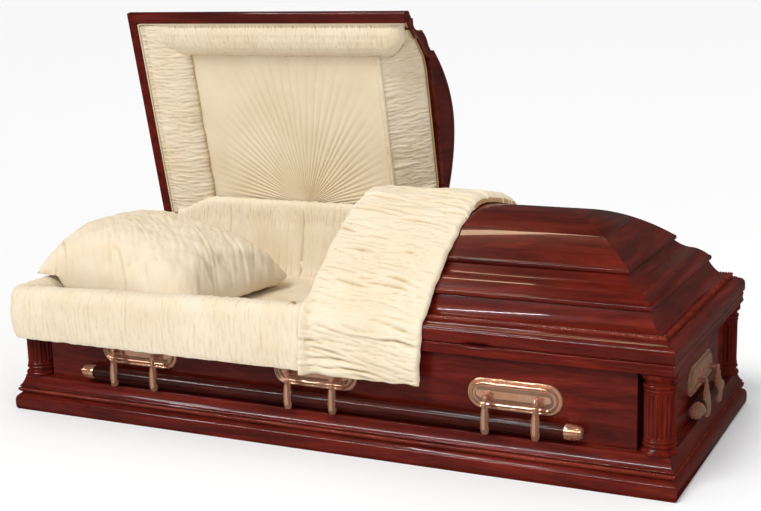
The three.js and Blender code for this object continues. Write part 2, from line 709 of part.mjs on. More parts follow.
// Collar: padded cloth that covers the rim along the front and the head end
function addCollar() {
  const out = -COLLAR_PROUD;
  const over = SEAM_Z + FIT_GAP;
  const clearOfRim = RIM_INSET - 0.6;
  const inner = WALL_INSET + LINING_THICKNESS + 5;
  const section = [
    at(out + 2, COLLAR_BOTTOM_Z),
    at(out, COLLAR_BOTTOM_Z + 40),
    at(out + 1, SEAM_Z - 10),
    at(out + 7, SEAM_Z + 20),
    at(out + 22, COLLAR_TOP_Z - 6),
    at(out + 48, COLLAR_TOP_Z),
    at(inner - 22, COLLAR_TOP_Z - 6),
    at(inner - 4, COLLAR_TOP_Z - 22),
    at(inner, over),
    at(clearOfRim, over),
    at(clearOfRim, RIM_BOTTOM_Z - 3),
    at(out + 14, RIM_BOTTOM_Z - 20),
    at(out + 14, COLLAR_BOTTOM_Z),
  ];
  const corners = (inset) => {
    const x = -(HALF_L - inset);
    const y = -(HALF_W - inset);
    const cut = Math.max(-COLLAR_CORNER * inset / COLLAR_PROUD, 1);
    return [at(SPLIT_X - SPLIT_GAP / 2, y), at(x + cut, y), at(x, y + cut), at(x, HALF_W - WALL_INSET)];
  };
  place('collar', mitred(section, corners), cloth);
}

// Throw: cloth laid over the shut lid next to the split, from below the rim to past the ridge
function addThrow() {
  const clear = 3;
  const e = CROWN_EDGE_INSET;
  const under = [
    at(LID_WIDEST_INSET - clear, THROW_BOTTOM_Z),
    at(LID_WIDEST_INSET - clear, LID_BOTTOM_Z + 30),
    at(LID_WIDEST_INSET + 8, LID_RIM_TOP_Z + clear),
    at(LID_BEAD_INSET - 4, LID_RIM_TOP_Z + 8 + LID_BEAD_RADIUS + clear),
    at(TIER_EDGE_INSET - 2, TIER_EDGE_Z + 9 + clear),
    at(e - 1, CROWN_EDGE_Z + 6 + clear),
  ];
  const over = 10;
  for (let i = 1; i <= over; i++) {
    const y = -(HALF_W - e) + (HALF_W - e + THROW_PAST_RIDGE) * i / over;
    under.push(at(HALF_W + y, crownHeight(HALF_W - Math.abs(y)) + clear));
  }
  const middle = (i) => under[Math.min(i + 1, under.length - 1)].clone().sub(under[Math.max(i - 1, 0)]).normalize();
  const above = under.map((p, i) => at(p.x - middle(i).y * THROW_THICKNESS, p.y + middle(i).x * THROW_THICKNESS));
  const outline = [...under, ...above.reverse()].map((p) => at(p.x - HALF_W, p.y));
  const x0 = SPLIT_X + SPLIT_GAP;
  place('throw', drawnOut(outline, x0, x0 + THROW_WIDTH), cloth, footLid);
}

// Apron: cloth that hangs from the open lid over the hinge side down to the bed
function addApron() {
  const y = HALF_W - WALL_INSET - LINING_THICKNESS - 4;
  const x0 = -(HALF_L - WALL_INSET - CORNER_NOTCH - LINING_THICKNESS - 4);
  const x1 = SPLIT_X - HEADER_THICKNESS - 8;
  const outline = [at(x0, BED_TOP_Z + 1), at(x1, BED_TOP_Z + 1)];
  const steps = 8;
  const edgeZ = SEAM_Z + APRON_SIDE_RISE;
  for (let i = 0; i <= steps; i++) {
    const s = 1 - i / steps;
    const arch = Math.sqrt(1 - (2 * s - 1) ** 4);
    outline.push(at(x0 + (x1 - x0) * s, edgeZ + (APRON_TOP_Z - edgeZ) * arch));
  }
  const sheet = new THREE.ExtrudeGeometry(new THREE.Shape(outline), { depth: APRON_THICKNESS, bevelEnabled: false });
  place('apron', sheet.rotateX(Math.PI / 2).translate(0, y, 0), cloth);
}

addBody();
addHinge('head_hinge', -1);
addHinge('foot_hinge', 1);
addLid('head_lid', -1, headLid);
addLid('foot_lid', 1, footLid);
addLidLining();
addBedding();
addCollar();
addThrow();
addApron();
addHandle('front_handle', 0, HALF_W - PANEL_INSET, 3, BAR_HALF_LENGTH);
addHandle('back_handle', 180, HALF_W - PANEL_INSET, 3, BAR_HALF_LENGTH);
addHandle('foot_handle', 90, HALF_L - PANEL_INSET, 1, END_BAR_HALF_LENGTH);
addHandle('head_handle', -90, HALF_L - PANEL_INSET, 1, END_BAR_HALF_LENGTH);

export default casket;
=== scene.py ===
import json
import math
import random

import bmesh
import bpy
import numpy as np
from mathutils import Matrix, Vector


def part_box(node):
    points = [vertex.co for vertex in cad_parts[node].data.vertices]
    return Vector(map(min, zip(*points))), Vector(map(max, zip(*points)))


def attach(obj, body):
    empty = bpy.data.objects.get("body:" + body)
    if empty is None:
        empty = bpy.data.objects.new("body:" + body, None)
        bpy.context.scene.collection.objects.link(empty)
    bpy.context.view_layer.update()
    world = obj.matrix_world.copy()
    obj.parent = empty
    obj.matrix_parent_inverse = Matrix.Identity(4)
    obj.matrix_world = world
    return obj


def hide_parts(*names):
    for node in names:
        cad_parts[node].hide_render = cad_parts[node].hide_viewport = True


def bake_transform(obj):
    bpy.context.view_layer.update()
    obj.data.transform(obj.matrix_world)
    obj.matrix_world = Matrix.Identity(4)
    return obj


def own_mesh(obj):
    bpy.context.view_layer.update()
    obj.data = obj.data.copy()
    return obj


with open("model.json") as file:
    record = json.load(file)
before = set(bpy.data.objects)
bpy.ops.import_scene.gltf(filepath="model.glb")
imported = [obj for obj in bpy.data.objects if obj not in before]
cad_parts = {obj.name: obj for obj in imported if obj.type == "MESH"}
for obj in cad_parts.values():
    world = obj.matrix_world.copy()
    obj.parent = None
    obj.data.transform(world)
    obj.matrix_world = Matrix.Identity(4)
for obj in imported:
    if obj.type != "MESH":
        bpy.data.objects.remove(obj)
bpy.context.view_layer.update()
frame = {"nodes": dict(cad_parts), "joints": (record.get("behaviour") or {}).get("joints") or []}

MM = 0.001
random.seed(7)

# Camera solved for the photograph's frame
PHOTO_W = 761
FOCAL_PX = 1355.2
OPTICAL_CENTRE_X = 430.0
CAMERA_AT = Vector((1.8231, -3.5790, 1.3315))
CAMERA_AZIMUTH = math.radians(24.542)
CAMERA_ELEVATION = math.radians(12.088)
CAMERA_ROLL = math.radians(-1.181)
SENSOR_MM = 36

# Sizes read from the frame, in metres
joint = {j["name"]: j for j in frame["joints"]}
HINGE = Vector(joint["head_lid_hinge"]["pos_m"])
LID_OPEN = math.radians(joint["head_lid_hinge"]["range_deg"][1])
base_low, base_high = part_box("base_moulding")
rim_low, rim_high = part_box("body_rim")
HALF_L = base_high.x / MM
HALF_W = base_high.y / MM
BASE_TOP = base_high.z / MM
RIM_BOTTOM = rim_low.z / MM
SEAM = rim_high.z / MM
SPLIT = 5
SPLIT_GAP = 3
LID_BOTTOM = SEAM + 1


# Small tools for shapes
def place_in_scene(name, data):
    obj = bpy.data.objects.new(name, data)
    bpy.context.scene.collection.objects.link(obj)
    return obj


def add_mesh(name, verts, faces, sharp_deg=38):
    mesh = bpy.data.meshes.new(name)
    mesh.from_pydata([tuple(v) for v in verts], [], [tuple(f) for f in faces])
    mesh.validate()
    mesh.shade_smooth()
    mesh.set_sharp_from_angle(angle=math.radians(sharp_deg))
    mesh.update()
    return place_in_scene(name, mesh)


def dress(obj, body, slot, *materials, nodes=()):
    """Gives a piece its materials and its body, and hides the frame's nodes that it stands for."""
    for material in materials:
        obj.data.materials.append(material)
    if body:
        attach(obj, body)
    if nodes:
        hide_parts(*nodes)
    return obj


def smooth_run(points, steps):
    """Points on a smooth curve through the given ones, its ends included."""
    pts = [np.array(p, float) for p in points]
    pts = [2 * pts[0] - pts[1]] + pts + [2 * pts[-1] - pts[-2]]
    out = []
    for k in range(1, len(pts) - 2):
        p0, p1, p2, p3 = pts[k - 1:k + 3]
        for i in range(steps):
            t = i / steps
            out.append(0.5 * (2 * p1 + (p2 - p0) * t + (2 * p0 - 5 * p1 + 4 * p2 - p3) * t ** 2
                              + (3 * p1 - p0 - 3 * p2 + p3) * t ** 3))
    return out + [pts[-2]]


def profile(*runs, steps=4):
    """A section made of smooth runs that meet at hard corners, and of single points."""
    out = []
    for run in runs:
        pts = smooth_run(run, steps) if len(run) > 2 else [np.array(p, float) for p in run]
        for p in pts:
            if not out or np.linalg.norm(out[-1] - p) > 1e-6:
                out.append(p)
    return out


def ring_corners(inset):
    x, y = HALF_L - inset, HALF_W - inset
    return [(-x, -y), (x, -y), (x, y), (-x, y)]


def lid_corners(side):
    """The run round one lid, from the split along the front, round the far end and back."""
    split_x = SPLIT + side * SPLIT_GAP / 2

    def corners(inset):
        x, y = side * (HALF_L - inset), HALF_W - inset
        return [(split_x, -y), (x, -y), (x, y), (split_x, y)]
    return corners


def mitred(section, corners, closed=False, steps=1, ridge=-1, bend=None):
    """A moulding section of inset and height drawn round mitred corners.

    Returns verts, faces and, for each face, 0 where the run follows X and 1 where it follows Y.
    bend moves a point. ridge is the section's edge that gets no faces."""
    rings = [corners(p[0]) for p in section]
    runs = len(rings[0]) if closed else len(rings[0]) - 1
    stations = []
    for run in range(runs):
        for i in range(steps):
            stations.append((run, i / steps))
    if not closed:
        stations.append((runs - 1, 1.0))
    verts = []
    for run, share in stations:
        for p, ring in zip(section, rings):
            a, b = ring[run], ring[(run + 1) % len(ring)]
            point = [a[0] + (b[0] - a[0]) * share, a[1] + (b[1] - a[1]) * share, p[1]]
            verts.append(bend(point) if bend else point)
    n, m = len(stations), len(section)
    faces, along = [], []
    for s in range(n if closed else n - 1):
        run = stations[s][0]
        ring = rings[0]
        a, b = ring[run], ring[(run + 1) % len(ring)]
        kind = 0 if abs(b[0] - a[0]) > abs(b[1] - a[1]) else 1
        t = (s + 1) % n
        for k in range(m):
            if k == ridge:
                continue
            l = (k + 1) % m
            faces.append((s * m + k, t * m + k, t * m + l, s * m + l))
            along.append(kind)
    if not closed:
        faces.append(tuple(range(m))[::-1])
        faces.append(tuple((n - 1) * m + k for k in range(m)))
        along += [1, 1]
    return verts, faces, along


def moulding(name, section, corners, transform=None, sharp_deg=38, **kw):
    """A mitred moulding as an object, with a second material index on the runs along Y."""
    verts, faces, along = mitred(section, corners, **kw)
    verts = [Vector(v) * MM for v in verts]
    if transform:
        verts = [transform @ v for v in verts]
    obj = add_mesh(name, verts, faces, sharp_deg)
    if len(obj.data.polygons) == len(along):
        obj.data.polygons.foreach_set("material_index", along)
    merge_close(obj)
    return obj


def merge_close(obj, distance=1e-5):
    bm = bmesh.new()
    bm.from_mesh(obj.data)
    bmesh.ops.remove_doubles(bm, verts=bm.verts, dist=distance)
    bmesh.ops.recalc_face_normals(bm, faces=bm.faces)
    bm.to_mesh(obj.data)
    bm.free()


def opened():
    """Turns shut-lid coordinates to the open lid's, about the hinge."""
    return (Matrix.Translation(HINGE) @ Matrix.Rotation(-LID_OPEN, 4, "X") @ Matrix.Translation(-HINGE))


# Materials
def node_material(name):
    """A material, its shader, a setter of a node's sockets and a maker of nodes."""
    material = bpy.data.materials.new(name)
    material.use_nodes = True
    tree = material.node_tree

    def put(node, sockets):
        """Links a socket where its value is another node's output, and else sets it."""
        for socket, value in sockets.items():
            if isinstance(value, bpy.types.NodeSocket):
                tree.links.new(value, node.inputs[socket])
            else:
                node.inputs[socket].default_value = value

    def add(kind, sockets, output=0, **settings):
        """Makes a node and returns one of its outputs."""
        node = tree.nodes.new(kind)
        for setting, value in settings.items():
            setattr(node, setting, value)
        put(node, sockets)
        return node.outputs[output]
    return material, tree.nodes["Principled BSDF"], put, add


def ramp(add, share, low, high, middle=None):
    """Colour along a share, from stops of place and colour."""
    colour = add("ShaderNodeValToRGB", {"Fac": share}, "Color")
    elements = colour.node.color_ramp.elements
    for element, (place, tint) in zip(elements, (low, high)):
        element.position = place
        element.color = (*tint, 1)
    if middle:
        elements.new(middle[0]).color = (*middle[1], 1)
    return colour


def wood_material(name, along, dark, middle, light, roughness=0.28, coat=0.8):
    """Glossy stained wood with streaks, pores and slow changes of tone along one axis."""
    material, shader, put, add = node_material(name)
    place = add("ShaderNodeTexCoord", {}, "Object")
    scale = tuple(1.6 if axis == along else 16 for axis in "XYZ")
    stretched = add("ShaderNodeMapping", {"Vector": place, "Scale": scale}, "Vector")
    streaks = add("ShaderNodeTexNoise", {
        "Vector": stretched, "Scale": 1.7, "Detail": 7, "Roughness": 0.62, "Distortion": 0.9}, "Fac")
    pores = add("ShaderNodeTexNoise", {
        "Vector": stretched, "Scale": 14, "Detail": 4, "Roughness": 0.7}, "Fac")
    slow = add("ShaderNodeTexNoise", {"Vector": place, "Scale": 2.2, "Detail": 2}, "Fac")
    colour = ramp(add, streaks, (0.3, dark), (0.72, light), (0.5, middle))
    fine = add("ShaderNodeMapRange", {
        "Value": pores, "From Min": 0.35, "From Max": 0.7, "To Min": 0.78, "To Max": 1.15}, "Result")
    tone = add("ShaderNodeMapRange", {
        "Value": slow, "From Min": 0.3, "From Max": 0.7, "To Min": 0.75, "To Max": 1.2}, "Result")
    both = add("ShaderNodeMath", {0: fine, 1: tone}, "Value", operation="MULTIPLY")
    shade = add("ShaderNodeMix", {"Factor": 1, "A": colour, "B": both}, "Result",
                data_type="RGBA", blend_type="MULTIPLY")
    bump = add("ShaderNodeBump", {"Strength": 0.05, "Distance": 0.001, "Height": pores}, "Normal")
    put(shader, {"Base Color": shade, "Normal": bump, "Roughness": roughness, "Specular IOR Level": 0.1,
                 "Coat Weight": coat, "Coat Roughness": 0.04, "Coat IOR": 1.3})
    return material


def metal_material(name, light, deep, roughness):
    """Polished copper with slow stains and fine wear."""
    material, shader, put, add = node_material(name)
    place = add("ShaderNodeTexCoord", {}, "Object")
    stains = add("ShaderNodeTexNoise", {"Vector": place, "Scale": 24, "Detail": 5}, "Fac")
    scuffs = add("ShaderNodeTexNoise", {"Vector": place, "Scale": 260, "Detail": 3}, "Fac")
    wear = add("ShaderNodeMapRange", {
        "Value": scuffs, "To Min": roughness * 0.7, "To Max": roughness * 1.5}, "Result")
    put(shader, {"Base Color": ramp(add, stains, (0.34, deep), (0.62, light)), "Roughness": wear,
                 "Metallic": 0.82})
    return material


def cloth_material(name, light, deep, weave=900, bump_strength=0.35):
    """Cream crepe: a fine pebbled weave, faint yellowing, painted shade in its fold valleys and a soft sheen.
    """
    material, shader, put, add = node_material(name)
    place = add("ShaderNodeTexCoord", {}, "Object")
    tone = add("ShaderNodeTexNoise", {"Vector": place, "Scale": 7, "Detail": 4}, "Fac")
    # Painted shade: concave fold valleys, found by pointiness, are mixed towards a darker cream to stand in
    # for the shade in creases.
    valley = add("ShaderNodeMapRange", {
        "Value": add("ShaderNodeNewGeometry", {}, "Pointiness"),
        "From Min": 0.42, "From Max": 0.497, "To Min": 0.0, "To Max": 1.0}, "Result")
    shade = add("ShaderNodeMix", {
        "A": (deep[0] * 0.72, deep[1] * 0.62, deep[2] * 0.45, 1), "Factor": valley,
        "B": ramp(add, tone, (0.35, deep), (0.65, light))}, "Result", data_type="RGBA")
    pebble = add("ShaderNodeTexVoronoi", {"Vector": place, "Scale": weave}, "Distance")
    crinkles = add("ShaderNodeTexNoise", {"Vector": place, "Scale": 170, "Detail": 4}, "Fac")
    height = add("ShaderNodeMath", {0: pebble, 1: 0.35, 2: crinkles}, "Value", operation="MULTIPLY_ADD")
    bump = add("ShaderNodeBump", {
        "Strength": bump_strength, "Distance": 0.0012, "Height": height}, "Normal")
    put(shader, {"Base Color": shade, "Normal": bump, "Roughness": 0.82, "Specular IOR Level": 0.25,
                 "Sheen Weight": 0.12, "Sheen Roughness": 0.45})
    return material


DARK, MIDDLE, LIGHT = (0.045, 0.0035, 0.002), (0.095, 0.0075, 0.0036), (0.165, 0.016, 0.007)
wood_x = wood_material("cherry_along_x", "X", DARK, MIDDLE, LIGHT)
wood_y = wood_material("cherry_along_y", "Y", DARK, MIDDLE, LIGHT)
wood_z = wood_material("cherry_along_z", "Z", DARK, MIDDLE, LIGHT)
bar_wood = wood_material("bar_wood", "X", (0.01, 0.003, 0.002), (0.035, 0.006, 0.004), (0.07, 0.012, 0.008))
plain_wood = wood_material(
    "plain_wood", "X", (0.16, 0.08, 0.04), (0.25, 0.14, 0.08), (0.33, 0.2, 0.12), 0.6, 0.0)
copper = metal_material("copper", (0.98, 0.56, 0.37), (0.9, 0.46, 0.28), 0.09)
rope_wood = wood_material("rope_wood", "X", (0.07, 0.007, 0.0035), (0.14, 0.015, 0.007), (0.21, 0.032, 0.014))
crepe = cloth_material("cream_crepe", (0.76, 0.66, 0.50), (0.71, 0.595, 0.42))
crepe_smooth = cloth_material("cream_crepe_flat", (0.76, 0.65, 0.47), (0.71, 0.59, 0.41), 1200, 0.15)
tan_cloth = cloth_material("tan_tape", (0.5, 0.3, 0.14), (0.42, 0.24, 0.11), 1200, 0.2)


# Wood mouldings
def rope(name, corners, inset, height, radius, closed, transform=None, ridge_every=8.0):
    """A twisted bead along each side of a mitred run: slanting ridges on a round bead."""
    outer, inner = corners(inset - radius), corners(inset + radius)
    middle = corners(inset)
    count = len(middle) if closed else len(middle) - 1
    verts, faces, along = [], [], []
    for run in range(count):
        a, b = Vector(middle[run]), Vector(middle[(run + 1) % len(middle)])
        d = (b - a).normalized()
        probe = Vector(outer[run]) - Vector(inner[run])
        out = Vector((d.y, -d.x))
        if probe.dot(out) < 0:
            out = -out
        length = (b - a).length
        stations = int(length / ridge_every * 4)
        ring = 7
        first = len(verts)
        for s in range(stations + 1):
            for k in range(ring):
                theta = math.radians(-115 + 230 * k / (ring - 1))
                along_mm = length * s / stations
                phase = 2 * math.pi * along_mm / ridge_every + theta * 2.2
                r = radius * (0.92 + 0.24 * math.sin(phase))
                o, z = math.cos(theta) * r, math.sin(theta) * r
                at_end = 1 if s / stations > 0.5 else -1
                mitre = closed or not (run == 0 and at_end < 0 or run == count - 1 and at_end > 0)
                slide = o * at_end * abs(2 * s / stations - 1) ** 40 if mitre else 0
                p = a + d * (along_mm + slide) + out * o
                verts.append(Vector((p.x, p.y, height + z)) * MM)
        for s in range(stations):
            for k in range(ring - 1):
                i = first + s * ring + k
                faces.append((i, i + ring, i + ring + 1, i + 1))
                along.append(0 if abs(d.x) > abs(d.y) else 1)
    if transform:
        verts = [transform @ v for v in verts]
    obj = add_mesh(name, verts, faces, 80)
    obj.data.polygons.foreach_set("material_index", along)
    return obj


def base_section():
    return profile(
        [(4, 0), (0.8, 7), (0, 20), (0.8, 33), (4.5, 42), (13.5, 49.5)],
        [(13.5, 49.5), (17, 53.5)],
        [(17, 53.5), (17, 70)],
        [(14, 70.5), (12, 71.5), (11.6, 73.2), (13, 75.5)],
        [(13, 75.5), (15.5, 77.5), (19, 83), (22.5, 90.5), (25.5, 98.5), (26.6, 104)],
        [(26.6, 104), (27.4, 106.6), (30, BASE_TOP)],
        [(72, BASE_TOP), (72, 0)],
        steps=4)


def build_base():
    obj = moulding("base_moulding_run", base_section(), ring_corners, closed=True, steps=2)
    dress(obj, "body", "cherry_wood", wood_x, wood_y, nodes=["base_moulding"])
    twist = rope("base_rope", ring_corners, 14.0, 62.0, 6.6, True)
    dress(twist, "body", "cherry_wood", rope_wood, rope_wood)


NOTCH_X = (470, 550)


def notch(depth, height, spread):
    """Pushes points of the front run in at the finger notch, near a height."""
    def bend(point):
        x, y, z = point
        if y > -HALF_W + 60:
            return point
        across = (x - sum(NOTCH_X) / 2) / ((NOTCH_X[1] - NOTCH_X[0]) / 2)
        if abs(across) >= 1:
            return point
        fade = math.exp(-((z - height) / spread) ** 2) * (1 - across ** 2) ** 0.6
        return [x, y + depth * fade, z]
    return bend


def build_rim():
    section = profile(
        [(20, RIM_BOTTOM), (16.2, RIM_BOTTOM + 1.5), (15, RIM_BOTTOM + 5), (16.5, RIM_BOTTOM + 12),
         (17, RIM_BOTTOM + 18), (15.6, SEAM - 7), (16, SEAM - 3), (19, SEAM - 0.4), (23, SEAM)],
        [(68, SEAM), (68, RIM_BOTTOM)], steps=4)
    obj = moulding("body_rim_run", section, ring_corners, closed=True, steps=110,
                   bend=notch(16, SEAM, 6))
    dress(obj, "body", "cherry_wood", wood_x, wood_y, nodes=["body_rim"])
    blocks = []
    size = 136 - 63
    for sx in (-1, 1):
        for sy in (-1, 1):
            x, y = sx * (HALF_L - 99.5), sy * (HALF_W - 99.5)
            blocks.append((x - size / 2, y - size / 2, RIM_BOTTOM, x + size / 2, y + size / 2, SEAM - 0.5))
    dress(boxes("rim_corner_blocks", blocks), "body", "cherry_wood", wood_x)


def boxes(name, corners_list):
    """Boxes with softened edges, given by their lowest and highest corners in millimetres."""
    bm = bmesh.new()
    for x0, y0, z0, x1, y1, z1 in corners_list:
        made = bmesh.ops.create_cube(bm, size=1)["verts"]
        for v in made:
            v.co = Vector((
                (x0 + x1) / 2 + v.co.x * (x1 - x0), (y0 + y1) / 2 + v.co.y * (y1 - y0),
                (z0 + z1) / 2 + v.co.z * (z1 - z0))) * MM
    bmesh.ops.bevel(bm, geom=bm.edges[:], offset=0.0012, segments=2, affect="EDGES")
    mesh = bpy.data.meshes.new(name)
    bm.to_mesh(mesh)
    bm.free()
    mesh.shade_smooth()
    mesh.set_sharp_from_angle(angle=math.radians(40))
    return place_in_scene(name, mesh)


def lathe(name, outline, segments=48, matrix=Matrix.Identity(4), flute=None):
    """Turns points of radius and height about Z, in millimetres.

    flute changes a radius by its angle and height."""
    verts, faces = [], []
    for radius, z in outline:
        for k in range(segments):
            angle = 2 * math.pi * k / segments
            r = flute(radius, z, angle) if flute else radius
            verts.append(matrix @ (Vector((r * math.cos(angle), r * math.sin(angle), z)) * MM))
    for i in range(len(outline) - 1):
        for k in range(segments):
            l = (k + 1) % segments
            faces.append((i * segments + k, i * segments + l, (i + 1) * segments + l, (i + 1) * segments + k))
    if outline[0][0] > 0.01:
        faces.append(tuple(range(segments))[::-1])
    if outline[-1][0] > 0.01:
        faces.append(tuple((len(outline) - 1) * segments + k for k in range(segments)))
    obj = add_mesh(name, verts, faces)
    merge_close(obj)
    return obj


COLUMN_INSET = 63
COLUMN_RADIUS = 41
CAP_RADIUS = 48
FLUTES = 20


def build_columns():
    height = RIM_BOTTOM - BASE_TOP - 0.8
    r = CAP_RADIUS
    foot = profile(
        [(0.1, 0), (r - 1.5, 0)],
        [(r - 1.5, 0), (r - 0.2, 3), (r - 0.2, 7), (r - 2, 10)],
        [(r - 5, 11.5), (r - 8, 15), (r - 9, 19)],
        [(r - 9, 20), (r - 5, 21.5), (r - 3.4, 25), (r - 5, 28.5), (r - 8, 30)],
        [(r - 8, 31.5), (r - 5.5, 34), (r - 6.2, 37.5), (r - 8, 40)], steps=3)
    top = height
    cap = [(p[0], top - p[1]) for p in profile(
        [(0.1, 0), (r - 0.5, 0)],
        [(r - 0.5, 0), (r, 4), (r - 0.2, 11), (r - 2, 14)],
        [(r - 5, 15.5), (r - 8.5, 20), (r - 9, 26)],
        [(r - 9, 27), (r - 4.6, 29), (r - 3.6, 33), (r - 5, 37), (r - 8, 39)],
        [(r - 8, 40.5), (r - 5.5, 43), (r - 6, 47), (r - 8, 50)], steps=3)][::-1]
    shaft_low, shaft_high = foot[-1][1], cap[0][1]

    def fluted(radius, z, angle):
        if not shaft_low + 0.5 < z < shaft_high - 0.5:
            return radius
        ends = min(z - shaft_low, shaft_high - z)
        reach = min(1.0, max(0.0, (ends - 3) / 5))
        share = abs(math.cos(angle * FLUTES / 2))
        return radius - 4.5 * reach * max(0.0, 1 - (share / 0.86) ** 4) if share < 0.86 else radius
    levels = [shaft_low + 1, shaft_low + 3, shaft_low + 5, shaft_low + 8]
    levels += [shaft_low + shaft_high - z for z in levels[::-1]]
    shaft = [(COLUMN_RADIUS, z) for z in levels]
    outline = list(foot) + shaft + list(cap)
    for name, sx, sy in (("front_head", -1, -1), ("front_foot", 1, -1),
                         ("rear_head", -1, 1), ("rear_foot", 1, 1)):
        x, y = sx * (HALF_L - COLUMN_INSET), sy * (HALF_W - COLUMN_INSET)
        place = Matrix.Translation(Vector((x, y, BASE_TOP + 0.4)) * MM)
        obj = lathe(f"{name}_fluted_column", outline, 150, place, fluted)
        dress(obj, "body", "cherry_wood", wood_z, nodes=[f"{name}_column"])


# Lids
TIER_FOOT = (61.5, 415)
TIER_EDGE = (97, 470)
CROWN_EDGE = (182, 541)
CROWN_TOP = 653
SHELL = 18


def lid_rim_section():
    return profile(
        [(inset, LID_BOTTOM + rise) for inset, rise in (
            (16, 0), (13.4, 2.5), (12.3, 8), (12, 17), (12.8, 27), (16, 35.5), (22.5, 41), (31.5, 44.4))],
        [(32.5, LID_BOTTOM + 45), (34.5, 402.6)],
        [(34.5, 402.6), (43, 403)],
        [(43, 403), (45, 410), (50, 415.5), (57, 416)],
        [(61, 416), (61, 404)],
        [(46, 398), (46, LID_BOTTOM)], steps=4)


def shoulder(s):
    turn = 2 * s - 1
    return 0.42 * s + 0.58 * (0.5 + 0.5 * math.copysign(turn * turn, turn))


def between(a, b, rise, steps):
    """Points from a to b, ends included, whose height follows rise."""
    return [(a[0] + (b[0] - a[0]) * i / steps, a[1] + (b[1] - a[1]) * rise(i / steps))
            for i in range(steps + 1)]


def tier_section():
    foot = TIER_FOOT
    under = (TIER_EDGE[0] + 7, TIER_EDGE[1] - 8)
    over = (TIER_EDGE[0] + 7, TIER_EDGE[1] + 9)
    top = (CROWN_EDGE[0] + 6, CROWN_EDGE[1] - 6)
    cove = between(foot, under, lambda s: s ** 1.9, 14)
    slope = between(over, top, shoulder, 24)
    edge = smooth_run([under, (TIER_EDGE[0] + 1, TIER_EDGE[1] - 6), (TIER_EDGE[0] - 0.5, TIER_EDGE[1]),
                       (TIER_EDGE[0] + 1.5, TIER_EDGE[1] + 6), over], 4)
    inside = [(top[0] + SHELL, top[1]), (top[0] + SHELL, top[1] - SHELL), (over[0] + SHELL, over[1] - SHELL),
              (under[0] + SHELL * 0.7, under[1] - SHELL), (foot[0] + SHELL, foot[1] + 2),
              (foot[0] + SHELL, foot[1] - 10), (foot[0], foot[1] - 10)]
    return [np.array(p, float) for p in cove + [tuple(p) for p in edge[1:-1]] + slope + inside]


def crown_height(inset, drop=0):
    start = CROWN_EDGE[0] + 5
    s = max(0.0, (inset - start) / (HALF_W - start))
    low = CROWN_EDGE[1] + 8.5
    return low + (CROWN_TOP - low) * (1 - (1 - s) ** 1.9) - drop


def crown_section():
    e = CROWN_EDGE[0]
    steps = 30
    outside = [(e + 5 + (HALF_W - e - 5) * i / steps,) for i in range(steps + 1)]
    outside = [(p[0], crown_height(p[0])) for p in outside]
    inner = e + 6 + SHELL + 0.4
    within = [(inner + 4 + (HALF_W - inner - 4) * i / 12,) for i in range(13)]
    within = [(p[0], crown_height(p[0], SHELL)) for p in within][::-1]
    edge = smooth_run([(e + 4, CROWN_EDGE[1] - 5.6), (e + 0.5, CROWN_EDGE[1] - 4),
                       (e - 0.5, CROWN_EDGE[1] + 1), (e + 1, CROWN_EDGE[1] + 6), outside[0]], 4)
    section = [np.array(p, float) for p in [tuple(p) for p in edge[:-1]] + outside + within
               + [(inner, CROWN_EDGE[1] - 5.6)]]
    return section, len(edge) - 1 + len(outside) - 1


def build_lid(name, side, transform, body):
    corners = lid_corners(side)
    section, ridge = crown_section()
    steps = 110 if side > 0 else 1
    bend = notch(10, LID_BOTTOM, 7) if side > 0 else None
    rim = moulding(f"{name}_rim_run", lid_rim_section(), corners, transform, steps=steps, bend=bend)
    dress(rim, body, "cherry_wood", wood_x, wood_y, nodes=[f"{name}_rim"])
    tier = moulding(f"{name}_tier_run", tier_section(), corners, transform)
    dress(tier, body, "cherry_wood", wood_x, wood_y, nodes=[f"{name}_tier"])
    crown = moulding(f"{name}_crown_shell", section, corners, transform, ridge=ridge)
    dress(crown, body, "cherry_wood", wood_x, wood_y, nodes=[f"{name}_crown"])
    twist = rope(f"{name}_rope", corners, 50, 409.5, 7.4, False, transform)
    dress(twist, body, "cherry_wood", rope_wood, rope_wood)


# Handles
PIVOT_OUT = 38
PIVOT_HEIGHT = 215
PANEL_FACE = 50


def facing(degrees, face_mm):
    """From handle coordinates, with the pivot line on X and the face behind at +Y, to the row frame."""
    turn = Matrix.Rotation(math.radians(degrees), 4, "Z")
    return turn @ Matrix.Translation(Vector((0, -(face_mm + PIVOT_OUT), PIVOT_HEIGHT)) * MM)


BAR_DROP = 71
BAR_BEHIND = 14
BAR_RADIUS = 19
LONG_BAR_HALF, END_BAR_HALF = 796, 150
ARM_SPACING = 71
PLATE_SPACING = 600


def arm_outline():
    r = 13
    n = 103
    return profile(
        [(0.05, -n), (r * 0.42, -n + 0.8), (r * 0.72, -n + 4), (r * 0.93, -n + 14), (r, -n + 30),
         (r * 0.95, -n + 50), (r * 0.72, -n + 70), (r * 0.5, -n + 82), (r * 0.42, -14)],
        [(r * 0.42, -14), (r * 0.56, -12.5), (r * 0.42, -11)],
        [(r * 0.42, -11), (4.6, -8), (4.4, -5)], steps=4)


def ring_mesh(name, centre, axis, radius, wire, matrix, segments=36, sides=12):
    """A ring of wire about an axis, in millimetres."""
    turn = Vector((0, 0, 1)).rotation_difference(Vector(axis)).to_matrix().to_4x4()
    verts, faces = [], []
    for i in range(segments):
        a = 2 * math.pi * i / segments
        for k in range(sides):
            b = 2 * math.pi * k / sides
            out = radius + wire * math.cos(b)
            p = Vector((out * math.cos(a), out * math.sin(a), wire * math.sin(b)))
            verts.append(matrix @ ((Matrix.Translation(centre) @ turn @ p) * MM))
    for i in range(segments):
        for k in range(sides):
            j, l = (i + 1) % segments, (k + 1) % sides
            faces.append((i * sides + k, j * sides + k, j * sides + l, i * sides + l))
    return add_mesh(name, verts, faces, 60)


